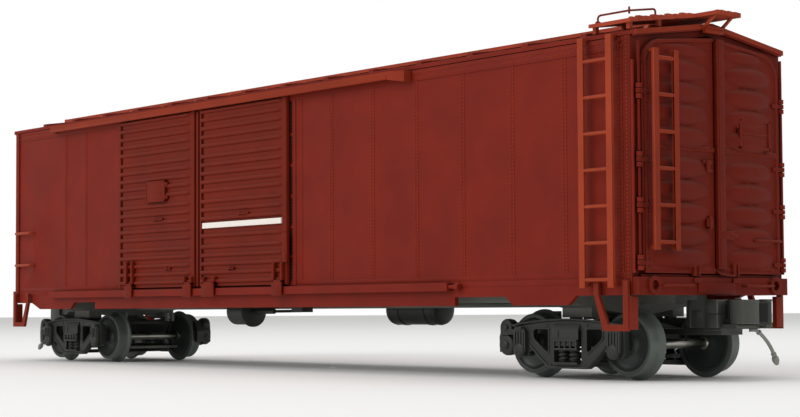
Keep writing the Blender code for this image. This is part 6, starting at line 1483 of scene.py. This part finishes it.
    def build(self, shop: Workshop, wheels: Wheelset) -> None:
        """Makes both trucks' wheels, springs, trim, rigging, couplers' trim and hoses."""
        trim, springs = self.frame_trim(), self.springs()
        here = np.array([self.x, 0.0, 0.0])
        shoes = {"door_end": ((self.x - self.shoe_x, -1), (self.x - self.shoe_x, 1)),
                 "plain_end": ((-self.x - self.shoe_x, -1), (self.shoe_x - self.x, 1))}
        for end, flip in ENDS.items():
            body = end + "_truck"
            labels = SIDES if end == "door_end" else reversed(SIDES)
            for label, half in zip(labels, SIDES.values()):
                for name, skin in (("sideframe_trim", trim), ("springs", springs)):
                    made = skin.turned(half, here - half @ here).turned(flip)
                    shop.place(f"{name}_{label}_{end}", made, Coat.CASTING, Slot.CASTING, body)
            for name, skin, coat in (
                ("brake_rigging", self.rigging(), Coat.CASTING),
                ("coupler_trim", self.coupler_trim(), Coat.COUPLER), ("brake_fins", self.fins(), Coat.HOSE),
                ("coupler_faces", self.coupler_faces(), Coat.JAW_LIT),
                ("coupler_hollows", self.coupler_hollows(), Coat.HOLLOW_SHADE),
            ):
                shop.place(f"{name}_{end}", skin.turned(flip), coat, Slot.CASTING, body)
            shop.place(f"shoe_backs_{end}", self.shoes(shoes[end]), Coat.CASTING, Slot.CASTING, body)
            hose = "brake_hose_" + end
            shop.place(hose + "_tube", self.hose().turned(flip), Coat.HOSE, Slot.CASTING, body, (hose,))
            for name, s in (("outer", 1), ("inner", -1)):
                node, x = f"wheelset_{name}_{end}", self.x + s * self.half_base
                pair, sleeve = wheels.skin(x).turned(flip), wheels.sleeve(x).turned(flip)
                shop.place(node + "_turned", pair, Coat.WHEEL, Slot.WHEEL, node, (node,))
                shop.place(node + "_axle", sleeve, Coat.STEEL, Slot.WHEEL, node)


@dataclass
class BrakeGear:
    """Round fittings: the hand wheel and what hangs under the floor."""

    wheel: tuple[float, float, float] = (-170.85, 7.0, 80.0)
    radius: float = 5.0
    tank_at: tuple[float, float, float] = (30.0, 13.5, 19.5)
    tank_size: tuple[float, float] = (13.0, 5.0)
    cylinder_at: tuple[float, float, float] = (-33.0, -13.0, 19.2)
    floor: float = 26.05

    def hand_wheel(self) -> Skin:
        """A spoked wheel: a ring, six bent spokes and a hub on its shaft."""
        centre = np.array(self.wheel)
        turn = full_turn(48)[:, None]
        ring = centre + self.radius * (np.cos(turn) * ACROSS + np.sin(turn) * UP)
        parts = [sweep(ring, circle(0.5, 10), closed=True)]
        for angle in full_turn(6):
            out = math.cos(angle) * ACROSS + math.sin(angle) * UP
            bent_out = centre + out * 2.6 + 0.35 * AHEAD
            spoke = [centre + out * 0.6, bent_out, centre + out * (self.radius - 0.1)]
            parts.append(wire(spoke, 0.38, bend=1.0, sides=8))
        hub = [(0, -0.55), (0.8, -0.55), (1.1, -0.3), (1.1, 0.5), (0.75, 0.9), (0.75, 2.45), (0, 2.45)]
        return together([*parts, lathe(hub, AHEAD, self.wheel, 24)])

    def tank(self) -> Skin:
        """The air reservoir with domed ends, weld beads and straps."""
        (x, y, z), (half, r) = self.tank_at, self.tank_size
        dome = [(r * math.sin(a), half - 1.6 + 1.6 * math.cos(a)) for a in np.linspace(0, np.pi / 2, 9)]
        bead = [(r, half - 2.2), (r + 0.16, half - 2.35), (r + 0.16, half - 2.65), (r, half - 2.8)]
        one = dome + bead
        strap = [(0, -0.8), (5.2, -0.8), (5.25, 0), (5.2, 0.8), (0, 0.8)]
        rows = [(x + s - 0.8, y - 2.5, z, x + s + 0.8, y + 2.5, self.floor) for s in (-6.5, 6.5)]
        return together([
            lathe(one + [(out, -along) for out, along in reversed(one)], AHEAD, self.tank_at, 40),
            *(lathe(strap, AHEAD, (x + s, y, z), 40) for s in (-6.5, 6.5)), blocks(rows, 0.2),
        ])

    def cylinder(self) -> Skin:
        """The brake cylinder: barrel, bolted flange, push rod and bracket."""
        centre = np.array(self.cylinder_at)
        barrel = [(0, 5.5), (5.1, 5.5), (5.4, 5.3), (5.4, 4.5), (5.2, 4.3), (4.6, 4.3), (4.6, -4.6),
                  (4.2, -5.2), (2.8, -5.5), (0, -5.5)]
        push = [(0, 5), (0.9, 5), (0.9, 17.3), (0.7, 17.5), (0, 17.5)]
        turn = full_turn(8)
        bolts = centre + grid(5.5, 4.98 * np.cos(turn), 4.98 * np.sin(turn))
        x, y, z = self.cylinder_at
        bracket = blocks([(x - 2.75, y - 2.3, z, x + 2.75, y + 2.3, self.floor)], 0.25)
        return together([lathe(barrel, AHEAD, centre, 40), lathe(push, AHEAD, centre, 16),
                         domes(bolts, AHEAD, 0.36, 0.28), bracket])

    def pipes(self) -> Skin:
        """Train line and brake rods under the floor, with their hangers."""
        line = [(-112, 9.4, 24.6), (-60, 9.4, 24.6), (-52, 9.4, 22.6), (60, 9.4, 22.6), (70, 9.4, 24.6),
                (112, 9.4, 24.6)]
        return together([
            wire(line, 0.55, bend=2.5),
            wire([(1.9, -12.0, 24.2), (1.9, -7.0, 24.6), (1.9, 9.4, 22.6)], 0.4, bend=1.5),
            wire([(-110, -2.6, 20.4), (-20, -8.0, 20.4)], 0.36),
            wire([(-15.6, -13.0, 19.2), (-14.5, -2.0, 19.3)], 0.5),
            wire([(-13.5, -1.5, 20.4), (110, -2.2, 20.4)], 0.36),
            wire([(6, -12.0, 22), (14, -4.6, 23.6), (18, 12.0, 22.0)], 0.36, bend=2.0),
        ])

    def build(self, shop: Workshop) -> None:
        """Makes the hand wheel, tank, cylinder and pipes."""
        for node, skin, coat in (
            ("brake_wheel", self.hand_wheel(), Coat.BODY), ("air_reservoir", self.tank(), Coat.CASTING),
            ("brake_cylinder", self.cylinder(), Coat.CASTING),
        ):
            slot = Slot.PAINT if coat is Coat.BODY else Slot.CASTING
            shop.place(node + "_round", skin, coat, slot, "car_body", (node,))
        shop.place("brake_pipes", self.pipes(), Coat.CASTING, Slot.CASTING, "car_body")


# Camera, light and floor


@dataclass
class Studio:
    """A plain pale floor, plain soft light and the camera."""

    position: tuple[float, float, float] = (468.307, -373.223, 19.421)
    yaw: float = 49.128
    pitch: float = 2.624
    roll: float = -0.309
    lens: float = 78.544
    shift: tuple[float, float] = (-0.0033, 0.0269)
    sensor: float = 36
    clip: tuple[float, float] = (0.01, 50)
    sky: float = 0.60
    floor_rings: tuple[float, ...] = (0.001, 0.4, 1, 2.5, 6)
    aim: tuple[float, float, float] = (0.02, 0, 0.05)
    lamps: tuple[tuple[str, tuple[float, float, float], float, float], ...] = (
        ("key_light", (-0.35, -1.35, 0.95), 1.1, 8.4), ("end_light", (1.5, -0.25, 0.8), 0.8, 0.12),
        ("top_light", (0.1, 0.2, 1.6), 1.4, 7.2),
    )

    def camera(self) -> None:
        """Sets the camera from its place and angles; yaw 0 looks along +Y, 90 along -X."""
        yaw, pitch, roll = map(math.radians, (self.yaw, self.pitch, self.roll))
        look = Vector((-math.sin(yaw) * math.cos(pitch), math.cos(yaw) * math.cos(pitch), math.sin(pitch)))
        right = Vector((math.cos(yaw), math.sin(yaw), 0))
        up = right.cross(look)
        aside = right * math.cos(roll) + up * math.sin(roll)
        above = up * math.cos(roll) - right * math.sin(roll)
        data = bpy.data.cameras.new("camera")
        data.sensor_width = self.sensor
        data.lens = self.lens
        data.shift_x, data.shift_y = self.shift
        data.clip_start, data.clip_end = self.clip
        eye = bpy.data.objects.new("camera", data)
        x, y, z = (part * MM for part in self.position)
        eye.matrix_world = Matrix((
            (aside.x, above.x, -look.x, x), (aside.y, above.y, -look.y, y), (aside.z, above.z, -look.z, z),
            (0, 0, 0, 1),
        ))
        bpy.context.scene.collection.objects.link(eye)
        bpy.context.scene.camera = eye

    def lamp(self, name: str, place: Sequence[float], size: float, power: float) -> None:
        """A square soft light aimed at the middle of the car, in metres and watts."""
        data = bpy.data.lights.new(name, "AREA")
        data.size, data.energy = size, power
        made = bpy.data.objects.new(name, data)
        made.location = place
        made.rotation_euler = (Vector(self.aim) - Vector(place)).to_track_quat("-Z", "Y").to_euler()
        bpy.context.scene.collection.objects.link(made)

    def paper_floor(self) -> None:
        """A wide disc of pale paper, staged so that it is no piece of the car; its radii are in metres."""
        turn = full_turn(64)
        rings = np.array(self.floor_rings)[:, None, None] * grid(np.cos(turn), np.sin(turn), 0)
        mesh = bpy.data.meshes.new("studio_floor")
        faces = quads(len(self.floor_rings), 64, wrap_columns=True)
        mesh.from_pydata(rings.reshape(-1, 3).tolist(), [], faces.tolist())
        floor = bpy.data.objects.new("studio_floor", mesh)
        bpy.context.scene.collection.objects.link(floor)
        paper = bpy.data.materials.new("pale_paper")
        paper.use_nodes = True
        shader = paper.node_tree.nodes["Principled BSDF"]
        shader.inputs["Base Color"].default_value = linear("#FAFAF8")
        shader.inputs["Roughness"].default_value = 0.9
        shader.inputs["Specular IOR Level"].default_value = 0.1
        mesh.materials.append(paper)
        floor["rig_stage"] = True

    def sky_light(self) -> None:
        """An even white sky: full for the camera, weaker as a light."""
        world = bpy.data.worlds.new("studio")
        bpy.context.scene.world = world
        world.use_nodes = True
        tree = world.node_tree
        seen = add(tree, "LightPath").outputs["Is Camera Ray"]
        level = add(tree, "MapRange", {"Value": seen, "To Min": self.sky, "To Max": 1.0}).outputs["Result"]
        tree.nodes["Background"].inputs["Color"].default_value = linear("#FFFFFF")
        tree.links.new(level, tree.nodes["Background"].inputs["Strength"])

    def build(self) -> None:
        """Makes the floor, sky, lamps and camera."""
        bpy.context.scene.view_settings.view_transform = "Standard"
        self.sky_light()
        self.paper_floor()
        for name, place, size, power in self.lamps:
            self.lamp(name, place, size, power)
        self.camera()


def corners(bounds: tuple[Vector, Vector]) -> list[list[float]]:
    """Both corners of a box as plain lists."""
    return [list(map(float, corner)) for corner in bounds]


def main() -> None:
    """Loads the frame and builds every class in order."""
    logging.basicConfig(level=logging.INFO, format="%(name)s %(message)s")
    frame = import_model()
    cad = corners(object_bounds())
    shop = Workshop(frame)
    Studio().build()
    for door in (
        SideDoor("auxiliary_door", -84.2, 48.9, ((0.170, 0.096, 0.157), (0.945, 0.102, 0.058)),
                 ((0.544, 0.390, 0.100), (0.669, 0.101, 0.050)), True),
        SideDoor("main_door", -32.0, 49.6, ((0.136, 0.143, 0.053), (0.926, 0.107, 0.116)),
                 ((0.526, 0.388, 0.100), (0.381, 0.088, 0.050)), False),
    ):
        door.build(shop)
    for side in (-1, 1):
        EndDoor(side).build(shop)
    PlainEnd().build(shop)
    BodyRivets().build(shop)
    RoofWalk().build(shop)
    Truck().build(shop, Wheelset())
    BrakeGear().build(shop)
    shop.mould_the_rest()
    {"cad": cad, "visual": corners(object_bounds())}


if __name__ == "__main__":
    main()
